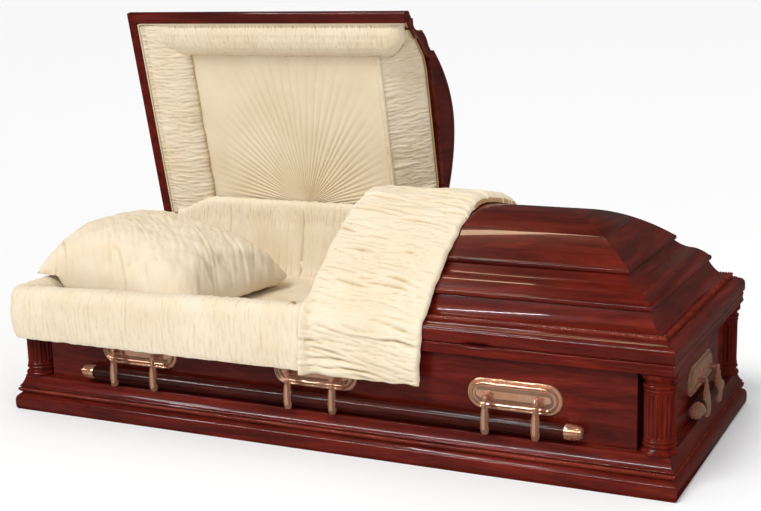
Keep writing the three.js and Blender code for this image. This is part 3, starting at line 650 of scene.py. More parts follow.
def join(name, *objects):
    """Joins objects' meshes into one piece."""
    bm = bmesh.new()
    for obj in objects:
        bm.from_mesh(obj.data)
        bpy.data.objects.remove(obj)
    mesh = bpy.data.meshes.new(name)
    bm.to_mesh(mesh)
    bm.free()
    mesh.set_sharp_from_angle(angle=math.radians(40))
    return place_in_scene(name, mesh)


def oval_point(length, height, share):
    """A point at a share of the way round an oval with half-round ends, and its outward direction."""
    r = height / 2
    straight = length - height
    total = 2 * straight + 2 * math.pi * r
    s = (share % 1.0) * total
    if s < straight:
        return Vector((-straight / 2 + s, r)), Vector((0, 1))
    s -= straight
    if s < math.pi * r:
        a = math.pi / 2 - s / r
        return Vector((straight / 2 + r * math.cos(a), r * math.sin(a))), Vector((math.cos(a), math.sin(a)))
    s -= math.pi * r
    if s < straight:
        return Vector((straight / 2 - s, -r)), Vector((0, -1))
    s -= straight
    a = -math.pi / 2 - s / r
    return Vector((-straight / 2 + r * math.cos(a), r * math.sin(a))), Vector((math.cos(a), math.sin(a)))


PLATE_L = 268
PLATE_H = 86


def build_plate(name, x, matrix, node):
    """Oval plate with a stepped border, a hollow channel, a crowned field and two rosettes for the arms."""
    steps = profile(
        [(0, 0), (0.6, 2.6), (2.4, 4.2), (5, 4.4)],
        [(5, 4.4), (6.5, 3.2), (8.5, 3.4)],
        [(8.5, 3.4), (10, 6.5), (12.5, 9.6), (15.5, 10.6)],
        [(15.5, 10.6), (17, 9.2), (19.5, 8.4), (23, 9.2), (28, 11.2), (34, 12.6), (42.4, 13.2)], steps=3)
    count = 108
    verts, faces = [], []
    for inset, rise in steps:
        for i in range(count):
            p, out = oval_point(PLATE_L, PLATE_H, i / count)
            q = p - out * inset
            verts.append(matrix @ (Vector((x + q.x, 37.6 - rise, q.y)) * MM))
    m = len(steps)
    for k in range(m - 1):
        for i in range(count):
            j = (i + 1) % count
            faces.append((k * count + i, k * count + j, (k + 1) * count + j, (k + 1) * count + i))
    faces.append(tuple((m - 1) * count + i for i in range(count)))
    faces.append(tuple(range(count))[::-1])
    plate = add_mesh(f"{name}_face", verts, faces, 50)
    merge_close(plate)
    parts = [plate]
    for side in (-1, 1):
        boss = profile(
            [(0.1, 0), (11, 0)],
            [(11, 0), (12, 2), (10, 4.5), (8, 5)],
            [(8, 5), (7, 9), (6.8, 20)],
            [(6.8, 20), (6.4, 22.5), (0.1, 24)], steps=3)
        turn = matrix @ Matrix.Translation(Vector((x + side * ARM_SPACING, 28, 0)) * MM)
        turn = turn @ Matrix.Rotation(math.radians(90), 4, "X")
        parts.append(lathe("boss", boss, 28, turn))
    obj = join(name, *parts)
    dress(obj, "body", "copper", copper, nodes=[node])


def build_arm(name, x, matrix, body, node):
    """Turned spindle that hangs from a ring."""
    place = matrix @ Matrix.Translation(Vector((x, 0, 0)) * MM)
    spindle = lathe("spindle", arm_outline(), 32, place)
    eye = ring_mesh("eye", Vector((x, 0, 0)), (0, 1, 0), 6.4, 2.6, matrix, 28, 10)
    knob = lathe("knob", profile([(0.05, -4), (2.6, -3.4), (4, 0), (2.6, 3.4), (0.05, 4)], steps=4), 20,
                 place @ Matrix.Rotation(math.radians(90), 4, "X"))
    obj = join(name, spindle, eye, knob)
    dress(obj, body, "copper", copper, nodes=[node])


def build_bar(name, half, matrix, body, node):
    """Turned wooden bar with a grooved metal tip at each end."""
    r = BAR_RADIUS
    turn = matrix @ Matrix.Translation(Vector((0, BAR_BEHIND, -BAR_DROP)) * MM)
    turn = turn @ Matrix.Rotation(math.radians(90), 4, "Y")
    tip = half - 47
    rod = lathe(f"{name}_rod", [(0.1, -tip - 2), (r, -tip - 2), (r, tip + 2), (0.1, tip + 2)], 40, turn)
    dress(rod, body, "bar_wood", bar_wood, nodes=[node])
    grooved = [(0.1, 0), (r, 0)] + [tuple(p) for p in profile(
        [(r, 0), (r + 1.5, 1.5), (r + 1.5, 17), (r + 0.4, 19)],
        [(r + 0.4, 19), (r - 2, 20.5), (r - 2, 22), (r + 0.6, 23.5)],
        [(r + 0.6, 23.5), (r + 1.2, 26.5), (r + 0.4, 29)],
        [(r + 0.4, 29), (r - 2.5, 30.5), (r - 2.5, 32), (r - 1, 33)],
        [(r - 1, 33), (r - 0.6, 36.5), (r - 2, 39)],
        [(r - 2, 39), (r - 5, 40), (r - 5, 41.5)],
        [(r - 5, 41.5), (r - 6, 44.5), (r - 10, 46.4), (0.1, 47)], steps=3)]
    tips = []
    for side in (-1, 1):
        spot = turn @ Matrix.Translation(Vector((0, 0, side * tip)) * MM)
        if side < 0:
            spot = spot @ Matrix.Rotation(math.pi, 4, "X")
        tips.append(lathe("tip", grooved, 40, spot))
    dress(join(f"{name}_tips", *tips), body, "copper", copper)


def build_handles():
    for side, turn in (("front", 0), ("back", 180)):
        matrix = facing(turn, HALF_W - PANEL_FACE)
        name = f"{side}_handle"
        build_bar(name, LONG_BAR_HALF, matrix, name, f"{name}_bar")
        for i in (1, 2, 3):
            x = (i - 2) * PLATE_SPACING
            build_plate(f"{name}_escutcheon_{i}", x, matrix, f"{name}_plate_{i}")
            for tag, s in (("left", -1), ("right", 1)):
                build_arm(f"{name}_spindle_{i}_{tag}", x + s * ARM_SPACING, matrix, name,
                          f"{name}_arm_{i}_{tag}")
    for end, turn in (("foot", 90), ("head", -90)):
        matrix = facing(turn, HALF_L - PANEL_FACE)
        name = f"{end}_handle"
        build_bar(name, END_BAR_HALF, matrix, name, f"{name}_bar")
        build_plate(f"{name}_escutcheon", 0, matrix, f"{name}_plate")
        for tag, s in (("left", -1), ("right", 1)):
            build_arm(f"{name}_spindle_{tag}", s * ARM_SPACING, matrix, name, f"{name}_arm_{tag}")


def finish_nodes():
    """Materials for the frame's nodes that stay."""
    for node, material in {
        "front_panel": wood_x, "back_panel": wood_x, "foot_panel": wood_y, "head_panel": wood_y,
        "bottom_board": plain_wood, "head_lid_header": wood_y, "foot_lid_header": wood_y,
        "head_hinge": copper, "foot_hinge": copper,
    }.items():
        obj = frame["nodes"][node]
        obj.data.materials.clear()
        obj.data.materials.append(material)


# Cloth
def grain(u, v, seed=0):
    """Smooth random heights, mostly from -1 to 1, with hills about one unit apart."""
    u, v = np.broadcast_arrays(np.asarray(u, float), np.asarray(v, float))
    iu, iv = np.floor(u).astype(np.int64), np.floor(v).astype(np.int64)
    fu, fv = u - iu, v - iv
    su, sv = (f * f * f * (f * (f * 6 - 15) + 10) for f in (fu, fv))

    def corner(du, dv):
        h = ((iu + du) * 374761393 + (iv + dv) * 668265263 + seed * 974711) & 0xFFFFFFFF
        h = ((h ^ (h >> 13)) * 1274126177) & 0xFFFFFFFF
        turn = (h & 0xFFFF) / 65536 * 2 * np.pi
        return np.cos(turn) * (fu - du) + np.sin(turn) * (fv - dv)
    low = corner(0, 0) * (1 - su) + corner(1, 0) * su
    high = corner(0, 1) * (1 - su) + corner(1, 1) * su
    return (low * (1 - sv) + high * sv) * 1.5


def crinkle(u, v, seed=0):
    """Round ridges that meet in sharp valleys, from -1 in a valley to about 1."""
    return 2 * np.minimum(np.abs(grain(u, v, seed)), 1) ** 0.6 - 1


def puckers(along, across, seed, pitch=11, length=45):
    """Gathered cloth: folds across the run, one pitch apart, with finer ones between, from -1 to 1."""
    drift = grain(along / 70, across / 60, seed + 9) * 5
    wide = crinkle((along + drift) / pitch, across / length, seed)
    fine = crinkle((along + drift) / (pitch * 0.42), across / (length * 0.45), seed + 1)
    return 0.7 * wide + 0.3 * fine


def ease(t):
    t = np.clip(t, 0, 1)
    return t * t * (3 - 2 * t)


def creases(u, v, seed, count, extent, length, width, depth, slant=0.0):
    """Single deep folds at random places: a sharp valley with a low ridge beside it."""
    chance = random.Random(seed)
    total = np.zeros(np.broadcast(u, v).shape)
    for _ in range(count):
        cu, cv = chance.uniform(0, extent[0]), chance.uniform(0, extent[1])
        reach = length * chance.uniform(0.6, 1.4)
        lean = slant + chance.uniform(-0.08, 0.08)
        du, dv = u - cu, v - cv
        off = du + lean * dv + 6 * (dv / reach) ** 2
        fade = np.exp(-(dv / reach) ** 2)
        deep = depth * chance.uniform(0.6, 1.2)
        ridge = 0.55 * np.exp(-((off - 1.8 * width) / (1.6 * width)) ** 2)
        total += fade * deep * (ridge - np.exp(-np.abs(off / width) ** 1.4))
    return total


def grid_normals(points):
    normal = np.cross(np.gradient(points, axis=0), np.gradient(points, axis=1))
    return normal / np.maximum(np.linalg.norm(normal, axis=2, keepdims=True), 1e-9)


def grid_quads(n, m):
    """The point numbers of an n by m grid, and the quads between them."""
    index = np.arange(n * m).reshape(n, m)
    corners = [index[:-1, :-1], index[1:, :-1], index[1:, 1:], index[:-1, 1:]]
    return index, np.stack(corners, -1).reshape(-1, 4)


def closed_piece(name, front, back, transform=None, flat_back=False):
    """A closed mesh between two grids of points in millimetres.

    With flat_back, the second grid gives only its outline, closed by one flat face."""
    n, m = front.shape[:2]
    index, quads = grid_quads(n, m)
    rim = np.concatenate([index[0, :-1], index[:-1, -1], index[-1, :0:-1], index[:0:-1, 0]])
    if flat_back:
        behind_rim = n * m + np.arange(len(rim))
        points = np.concatenate([front.reshape(-1, 3), back.reshape(-1, 3)[rim]])
        faces = quads.tolist() + [behind_rim.tolist()]
    else:
        behind_rim = rim + n * m
        points = np.concatenate([front.reshape(-1, 3), back.reshape(-1, 3)])
        faces = quads.tolist() + (quads[:, ::-1] + n * m).tolist()
    follow, behind_follow = np.roll(rim, -1), np.roll(behind_rim, -1)
    faces += np.stack([rim, follow, behind_follow, behind_rim], -1).tolist()
    matrix = np.array(transform if transform is not None else Matrix.Identity(4))
    points = points * MM @ matrix[:3, :3].T + matrix[:3, 3]
    obj = add_mesh(name, points, faces, 180)
    merge_close(obj, 1e-6)
    return obj


# Lid lining, laid out as on a shut lid and then turned with it
ROLL_TOP = LID_BOTTOM + 42
LINING_X0, LINING_X1 = -1003, -18
LINING_Y = 383.2
PANEL_X = (-832, -124)
PANEL_Y = (-268, 256)


def roll_depth(v):
    """Depth of a padded roll's section, from its tacked edge at 0 to the panel at 1."""
    return np.interp(v, [0, 0.06, 0.1, 0.16, 0.3, 0.5, 0.68, 0.82, 0.92, 0.975, 1.0],
                     [38, 37.5, 34, 38.5, 41.8, 41.5, 38, 31, 20.5, 9, -3])


def build_roll(name, length, width, place, seed, nodes, pitch, ends=(70, 70), full=1.0):
    """A padded roll of gathered cloth whose inner edge draws back at its rounded ends."""
    u = np.linspace(0, length, int(length / 3.2))[:, None]
    v = np.linspace(0, 1, 38)[None, :]
    v = v + 0.06 * np.sin(2 * np.pi * v)
    start = np.sqrt(1 - (1 - np.clip(u / ends[0], 0, 1)) ** 2)
    stop = np.sqrt(1 - (1 - np.clip((length - u) / ends[1], 0, 1)) ** 2)
    round_off = start * stop
    wander = 3.0 * grain(u / 55, 0 * v, seed + 3)
    across = v * (width * (0.3 + 0.7 * round_off) + wander)
    depth = roll_depth(v) * (0.25 + 0.75 * round_off ** 0.7) * full
    folds = puckers(u, across, seed, pitch, 100) * 3.3
    tack = crinkle(u / 8.5, across / 60, seed + 5) * 2.4 * np.exp(-((across - 14) / 9) ** 2)
    hold = ease(v / 0.06) * ease((1 - v) / 0.04)
    points = np.stack(place(u + 0 * v, across, depth), -1)
    normal = grid_normals(points)
    normal *= np.where(normal[..., 2:] > 0, -1, 1) if abs(normal[..., 2]).mean() > 0.3 else 1
    points = points + normal * ((folds + tack) * hold * round_off)[..., None]
    back = points.copy()
    back[..., 2] = ROLL_TOP + 2
    obj = closed_piece(name, points, back, opened(), flat_back=True)
    dress(obj, "head_lid", "crepe_cloth", crepe, nodes=nodes)


def tier_inside(y):
    """Height of the lid's wooden inner face over the plan, in millimetres."""
    inset = HALF_W - np.abs(y)
    wood = np.interp(inset, [46, 61, 79.5, 116.6, 122, 206], [400, 406, 417, 444, 461, 517])
    return np.minimum(wood, 526 - 96 * (np.abs(y) / 368) ** 3.6) - 4


def build_split_band():
    """Gathered cloth that rises from the panel to the arch at the split."""
    y = np.linspace(-378, 300, 230)[:, None]
    v = np.linspace(0, 1, 30)[None, :]
    top = tier_inside(y)
    narrow = ease((y + 378) / 90) * 0.75 + 0.25
    foot_x = LINING_X1 - 116 * narrow + 4 * grain(y / 34, 0 * y, 33)
    foot_z = ROLL_TOP - 1
    x = foot_x + (LINING_X1 - foot_x) * v
    z = foot_z + (top - foot_z) * v
    points = np.stack([x, y + 0 * v, z], -1)
    normal = grid_normals(points)
    normal *= np.sign(-normal[..., 2:].mean())
    bulge = 7 * np.sin(np.pi * v) ** 0.8
    span = np.hypot(x - foot_x, z - foot_z)
    folds = puckers(y + 0 * v, span, 31, 10, 90) * 4.2
    tack = crinkle(y / 7, span / 40, 37) * 1.4 * np.exp(-((1 - v) / 0.08) ** 2)
    hold = ease(v / 0.03) * ease((1 - v) / 0.02)
    front = points + normal * ((bulge + folds + tack) * hold)[..., None]
    obj = closed_piece("lid_arch_band", front, points - normal * 3, opened())
    dress(obj, "head_lid", "crepe_cloth", crepe, nodes=["lid_split_band"])


PLEATS = 44


def build_sunburst():
    """Pleats that fan out from the middle of the panel's hinge side and flatten towards its far corners."""
    cx, cy = -462.0, PANEL_Y[1] + 6
    turn = np.linspace(0.0, np.pi, PLEATS * 7 + 1)[:, None]
    share = np.linspace(0, 1, 48)[None, :] ** 1.35
    dx, dy = np.cos(turn), -np.sin(turn)
    left, right, front = PANEL_X[0] - 26, PANEL_X[1] + 4, PANEL_Y[0] - 26
    with np.errstate(divide="ignore", invalid="ignore"):
        reach_x = np.where(dx > 0, (right - cx) / np.maximum(dx, 1e-9), (left - cx) / np.minimum(dx, -1e-9))
        reach_y = (front - cy) / np.minimum(dy, -1e-9)
    reach = np.minimum(reach_x, reach_y)
    r = 9 + (reach - 9) * share
    jitter = 0.014 * grain(turn * 9, r / 160, 3) * ease(r / 60)
    wave = np.abs(np.sin((turn + jitter) * PLEATS)) ** 0.75 - 0.6
    middle = np.exp(-((turn - np.pi / 2) / 0.62) ** 2)
    fade = 1 - 0.92 * ease((r - (150 + 210 * middle)) / (240 + 150 * middle))
    uneven = 0.88 + 0.25 * grain(turn * 7, r / 230, 5)
    height = 3.6 * ease(r / 80) ** 0.8 * fade * uneven * wave + 0.9 * grain(turn * 3, r / 120, 8)
    height = height + 3.2 * np.exp(-r / 26)
    x, y = cx + dx * r, cy + dy * r
    front_grid = np.stack([x, y, ROLL_TOP + 1.5 - height], -1)
    back_grid = np.stack([x, y, ROLL_TOP + 6 + 0 * height], -1)
    obj = closed_piece("lid_sunburst", front_grid, back_grid, opened())
    dress(obj, "head_lid", "crepe_cloth", crepe_smooth, nodes=["lid_sunburst_panel"])


def tube(name, path, radius, transform=None, sides=8, across=(0.0, 0.0, 1.0)):
    """A closed round piping along a path in millimetres that lies in the plane square to across."""
    path = np.array(path, float)
    tangent = np.gradient(path, axis=0)
    tangent /= np.linalg.norm(tangent, axis=1, keepdims=True)
    side = np.cross(tangent, across)
    side /= np.linalg.norm(side, axis=1, keepdims=True)
    up = np.cross(side, tangent)
    angle = np.linspace(0, 2 * np.pi, sides, endpoint=False)
    around = np.cos(angle)[None, :, None] * side[:, None] + np.sin(angle)[None, :, None] * up[:, None]
    ring = path[:, None] + radius * around
    n = len(path)
    index = np.arange(n * sides).reshape(n, sides)
    follow = np.roll(index, -1, 1)
    faces = np.stack([index[:-1], index[1:], follow[1:], follow[:-1]], -1).reshape(-1, 4).tolist()
    faces += [index[0].tolist(), index[-1, ::-1].tolist()]
    matrix = np.array(transform if transform is not None else Matrix.Identity(4))
    points = ring.reshape(-1, 3) * MM @ matrix[:3, :3].T + matrix[:3, 3]
    obj = add_mesh(name, points, faces, 60)
    merge_close(obj, 1e-6)
    return obj


def build_piping():
    """Piping along the wood's inner edge and up over the arch at the split."""
    z = LID_BOTTOM + 3
    y = LINING_Y - 1
    straight = [(LINING_X1 + 16 - s, -y, z) for s in np.linspace(0, 984, 120)]
    straight += [(LINING_X0 + 3, -y + s, z) for s in np.linspace(4, 2 * y, 90)]
    dress(tube("lid_edge_piping", straight, 2.2, opened()), "head_lid", "crepe_cloth", crepe_smooth)
    ys = np.linspace(-y, y, 220)
    arch = np.stack([np.full_like(ys, LINING_X1 + 3.5), ys, tier_inside(ys) - 1.5], -1)
    arch = np.concatenate([[(LINING_X1 + 3.5, -y, z)], arch])
    piping = tube("lid_arch_piping", arch, 2.6, opened(), across=(1.0, 0.0, 0.0))
    dress(piping, "head_lid", "crepe_cloth", tan_cloth)


def build_lid_lining():
    build_roll("lid_shirred_head_roll", 700, 174, lambda u, a, d: (LINING_X0 + a, -382 + u, ROLL_TOP - d), 11,
               ["lid_head_roll"], 10, ends=(14, 20), full=0.95)
    build_roll("lid_shirred_front_roll", 962, 119,
               lambda u, a, d: (-982 + u, -LINING_Y + a, ROLL_TOP - d), 21,
               ["lid_front_roll"], 9.5, ends=(75, 75))
    build_roll("lid_shirred_hinge_roll", 980, 130, lambda u, a, d: (-999 + u, LINING_Y - a, ROLL_TOP - d), 51,
               ["lid_hinge_roll"], 10, ends=(60, 20))
    build_split_band()
    build_sunburst()
    build_piping()


# Body lining
CORNER_INSET = 70
COLLAR_TURN = 80
CORNER_NOTCH = 68
BODY_FLOOR = 0.14


def collar_at(s, inset, x_split):
    """Plan place on the collar: from the split along the front, round the corner, along the head end."""
    run = HALF_L - CORNER_INSET + x_split
    bend = np.pi / 2 * COLLAR_TURN
    turn = np.clip((s - run) / bend, 0, 1) * np.pi / 2
    centre_x, centre_y = -(HALF_L - CORNER_INSET), -(HALF_W - CORNER_INSET)
    radius = CORNER_INSET - inset
    x = np.where(s < run, x_split - s, centre_x - radius * np.sin(turn))
    y = np.where(s < run, -(HALF_W - inset), centre_y - radius * np.cos(turn))
    return x, np.where(s > run + bend, centre_y + (s - run - bend), y)


def build_collar():
    """Shirred cloth over the rim, from below its outside to the bed inside."""
    section = np.array(profile(
        [(-13, 237), (-17, 250), (-20.5, 290), (-20, 335), (-14, 373), (-1, 394), (22, 402),
         (46, 399.5), (63, 387), (75, 362), (82, 330), (86, 304)], steps=4))
    total = HALF_L - CORNER_INSET + 2 + np.pi / 2 * COLLAR_TURN + (HALF_W - CORNER_INSET) + 358
    s = np.linspace(0, total, int(total / 3.8))[:, None]
    inset, height = section[:, 0][None, :], section[:, 1][None, :]
    rise = np.interp(s, [0, 500, 1100, total], [21, 8, -12, -14])
    z = height + rise * ease((height - 300) / 100)
    end = ease(s / 44)
    inset = inset + (1 - end) * np.where(inset < 20, 8, -2) + 2.2 * grain(s / 150, z / 90, 2)
    x, y = collar_at(s + 0 * inset, inset, 3.0)
    z = z + (1 - ease((height - 240) / 30)) * 3.0 * grain(s / 45, 0 * inset, 4)
    points = np.stack([x, y, z + 0 * x], -1)
    normal = grid_normals(points)
    if (normal[..., 2] * (height > 395)).sum() < 0:
        normal = -normal
    down = np.concatenate([[0], np.cumsum(np.hypot(*np.diff(section, axis=0).T))])[None, :]
    folds = 4.3 * puckers(s, down + 0 * s, 61, 17, 110) + 1.2 * crinkle(s / 6.5, down / 30, 66)
    hold = ease(down / 6) * 0.8 + 0.2
    front = points + normal * (folds * hold)[..., None]
    back = points - normal * 5
    obj = closed_piece("shirred_collar", front, back)
    dress(obj, "body", "crepe_cloth", crepe, nodes=["collar"])
    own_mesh(obj)


def throw_profile():
    """The line that the throw's underside follows: up the front of the lid and over its ridge, as Y and Z."""
    clear = 3
    points = [(12 - clear, 226), (12 - clear, 300), (12 - clear, 360), (14 - clear, 385)]
    points += [(inset, height + clear) for inset, height in (
        (24, 402), (46, 420), (70, 446), (95, 476), (118, 494), (150, 521), (181, 549))]
    line = [(-(HALF_W - a), z) for a, z in points]
    for y in np.linspace(-210, 135, 12):
        line.append((y, crown_height(HALF_W - abs(y)) + clear))
    return np.array(smooth_run(line, 16))


def build_throw():
    """Cloth laid over the shut lid beside the split, creased across, with soft rolled edges."""
    line = throw_profile()
    along = np.concatenate([[0], np.cumsum(np.hypot(*np.diff(line, axis=0).T))])
    t = np.linspace(0, along[-1], int(along[-1] / 3.4))
    y, z = np.interp(t, along, line[:, 0]), np.interp(t, along, line[:, 1])
    ty, tz = np.gradient(y), np.gradient(z)
    size = np.hypot(ty, tz)
    ny, nz = -tz / size, ty / size
    width = 372.0
    a = np.linspace(0, 1, 80)[None, :]
    a = width * (a - 0.035 * np.sin(2 * np.pi * a))
    t, y, z, ny, nz = (q[:, None] for q in (t, y, z, ny, nz))
    left = np.interp(t, [0, 60, 150, 230, 330, 2000], [-22, -18, -14, -16, -9, -6])
    right = np.interp(t, [0, 150, 640, 700, 740, 800, 2000], [340, 352, 362, 370, 392, 416, 420])
    left = left + 2.5 * grain(t / 60, 0 * t, 14)
    right = right + 3.5 * grain(t / 38, 0 * t, 15)
    x = left + (right - left) * a / width
    edge = np.minimum(a, width - a)
    ridge = ease((t - 560) / 150)
    plump = np.sqrt(1 - (1 - np.clip(edge / (16 + 22 * ridge * (a > width / 2)), 0, 1)) ** 2)
    ends = np.sqrt(1 - (1 - np.clip(np.minimum(t, t[-1] - t) / 14, 0, 1)) ** 2)
    slid = t + 0.13 * a
    soft = 4.5 * grain(slid / 75, a / 210, 17)
    wide = 3.0 * crinkle(slid / 24, a / 150, 18)
    fine = 2.1 * crinkle(slid / 10, a / 60, 19) + 0.7 * crinkle(slid / 5.5, a / 34, 20)
    deep = creases(t, a, 5, 36, (float(t[-1, 0]), width), 62, 4.2, 9, slant=0.13)
    puff = 11 + 4 * ease(t / 60) + 17 * ridge
    lift = (puff + soft + wide + fine + deep) * plump * (0.35 + 0.65 * ends) + 0.6
    over_collar = 19 * ease((14 - x) / 26) * ease((432 - z) / 30)
    hem = (1 - ease(t / 18)) * 5 * grain(x / 55, 0 * t, 23)
    front = np.stack([x, y + ny * (lift + over_collar), z + nz * (lift + over_collar) + hem], -1)
    under = 0.5 + over_collar
    back = np.stack([x, y + ny * under, z + nz * under + hem], -1)
    obj = closed_piece("draped_throw", front, back)
    for face in obj.data.polygons:
        x, y, _ = face.center
        if x > 0.36 and y > -0.2 and face.normal.z < 0.45 + 0.3 * grain(y * 160, 0):
            face.material_index = 1
    dress(obj, "foot_lid", "crepe_cloth", crepe, tan_cloth, nodes=["throw"])
    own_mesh(obj)


def simulated(obj, frames, pressure, stiffness, bending):
    """Runs a short cloth simulation with inner pressure and keeps its result as the mesh."""
    scene = bpy.context.scene
    cloth = obj.modifiers.new("cloth", "CLOTH")
    cloth.settings.quality = 7
    cloth.settings.mass = 0.25
    cloth.settings.tension_stiffness = stiffness
    cloth.settings.compression_stiffness = stiffness
    cloth.settings.shear_stiffness = stiffness / 3
    cloth.settings.bending_stiffness = bending
    cloth.settings.use_pressure = True
    cloth.settings.uniform_pressure_force = pressure
    cloth.settings.effector_weights.gravity = 0
    cloth.collision_settings.use_collision = False
    cloth.point_cache.frame_start, cloth.point_cache.frame_end = 1, frames
    for frame_number in range(1, frames + 1):
        scene.frame_set(frame_number)
    solved = obj.evaluated_get(bpy.context.evaluated_depsgraph_get())
    mesh = bpy.data.meshes.new_from_object(solved)
    obj.modifiers.remove(cloth)
    obj.data = mesh
    scene.frame_set(1)


PILLOW_AT = (-748, -28, 353)
PILLOW_HALF = (338, 306)
PILLOW_OVER, PILLOW_UNDER = 156, 66


def build_pillow():
    """A stuffed bag: two sheets joined round the edge, blown up by a cloth simulation and creased."""
    u = np.linspace(-1, 1, 70)[:, None]
    v = np.linspace(-1, 1, 64)[None, :]
    pull = 1 - 0.05 * (1 - u ** 2) * v ** 2 - 0.05 * (1 - v ** 2) * u ** 2
    corner = (u * v) ** 6
    x, y = u * PILLOW_HALF[0] * pull * (1 - 0.07 * corner), v * PILLOW_HALF[1] * pull * (1 - 0.07 * corner)
    fat = np.maximum((1 - np.abs(u) ** 2.9) * (1 - np.abs(v) ** 2.9), 0) ** 0.5
    ruffle = 5 * grain(u * 6, v * 6, 71) * (fat > 0)
    top = np.stack([x, y, fat * PILLOW_OVER * (1 - 0.26 * u) + ruffle], -1)
    bottom = np.stack([x, y, -fat * PILLOW_UNDER + ruffle], -1)
    obj = closed_piece("stuffed_pillow", top, bottom)
    merge_close(obj, 1e-4)
    start = vertex_array(obj.data)
    simulated(obj, 20, 3.0, 12, 0.3)
    moved = vertex_array(obj.data) - start
    far = np.linalg.norm(moved, axis=1, keepdims=True)
    set_vertices(obj.data, start + moved * np.minimum(1, 26 / np.maximum(far, 1e-6)))
    smooth = obj.modifiers.new("smooth", "SUBSURF")
    smooth.levels = smooth.render_levels = 1
    mesh = bpy.data.meshes.new_from_object(obj.evaluated_get(bpy.context.evaluated_depsgraph_get()))
    obj.modifiers.remove(smooth)
    obj.data = mesh
    p = vertex_array(mesh)
    n = np.empty(len(p) * 3)
    mesh.vertices.foreach_get("normal", n)
    n = n.reshape(-1, 3)
    diagonal, over = (p[:, 0] + p[:, 1]) * 0.7, (p[:, 1] - p[:, 0]) * 0.7
    wrinkles = 2.2 * crinkle(diagonal / 26, over / 170, 72) + 1.1 * crinkle(diagonal / 9, over / 60, 73)
    wrinkles += creases(diagonal + 450, over + 450, 8, 18, (900, 900), 110, 3.6, 5.5, 0.2)
    rim = ease(np.abs(p[:, 2]) / 25)
    p = p + n * (wrinkles * rim)[:, None]
    turn = Matrix.Rotation(math.radians(4.5), 3, "Y") @ Matrix.Rotation(math.radians(-5), 3, "Z")
    p = p @ np.array(turn).T + np.array(PILLOW_AT)
    floor = 306 + 2 * crinkle(p[:, 0] / 40, p[:, 1] / 40, 75)
    p[:, 2] = np.where(p[:, 2] < floor + 14, floor + 14 * np.exp((p[:, 2] - floor - 14) / 14), p[:, 2])
    over_head = ease((-950 - p[:, 0]) / 30)
    p[:, 2] += over_head * np.maximum(400 - p[:, 2], 0)
    set_vertices(mesh, p)
    mesh.shade_smooth()
    dress(obj, "body", "crepe_cloth", crepe, nodes=["pillow"])
    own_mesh(obj)


def vertex_array(mesh):
    """A mesh's points in millimetres."""
    flat = np.empty(len(mesh.vertices) * 3)
    mesh.vertices.foreach_get("co", flat)
    return flat.reshape(-1, 3) / MM


def set_vertices(mesh, points):
    mesh.vertices.foreach_set("co", (points * MM).ravel())
    mesh.update()


def build_apron():
    """Cloth that hangs from the open lid's hinge side, gathered above and laid on the bed below."""
    x = np.linspace(-968, -26, 300)[:, None]
    v = np.linspace(0, 1, 42)[None, :]
    line = np.array(smooth_run([(412, 549), (396, 552), (381, 538), (376, 505), (372, 465), (365, 420),
                                (355, 370), (345, 328), (331, 308), (306, 301)], 12))
    along = np.concatenate([[0], np.cumsum(np.hypot(*np.diff(line, axis=0).T))])
    d = v * along[-1]
    y, z = np.interp(d, along, line[:, 0]) + 0 * x, np.interp(d, along, line[:, 1]) + 0 * x
    left = ease((-x - 810) / 170)
    z = z - left * 52 * (1 - v)
    points = np.stack([x + 0 * v, y, z], -1)
    normal = grid_normals(points)
    normal *= np.sign(-normal[..., 1:2].mean())
    gathers = 4.6 * puckers(x, d, 81, 12, 100) * (1 - 0.8 * ease((d - 70) / 70))
    low = ease((along[-1] - d) / 50)
    hangs = 8.0 * grain(x / 85, d / 260, 83) * ease((d - 60) / 90)
    hangs = hangs + 1.4 * crinkle(x / 30, d / 160, 85) * ease((d - 40) / 60)
    seams = sum(-7.0 * np.exp(-np.abs((x - s) / 4.5) ** 1.3) for s in (-745, -455, -190))
    seams = seams * ease((d - 40) / 30)
    hangs, seams = hangs * low, seams * low
    front = points + normal * (gathers + hangs + seams)[..., None]
    back = front - normal * 3
    obj = closed_piece("hung_apron", front, back)
    dress(obj, None, "crepe_cloth", crepe, nodes=["apron"])
    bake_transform(obj)


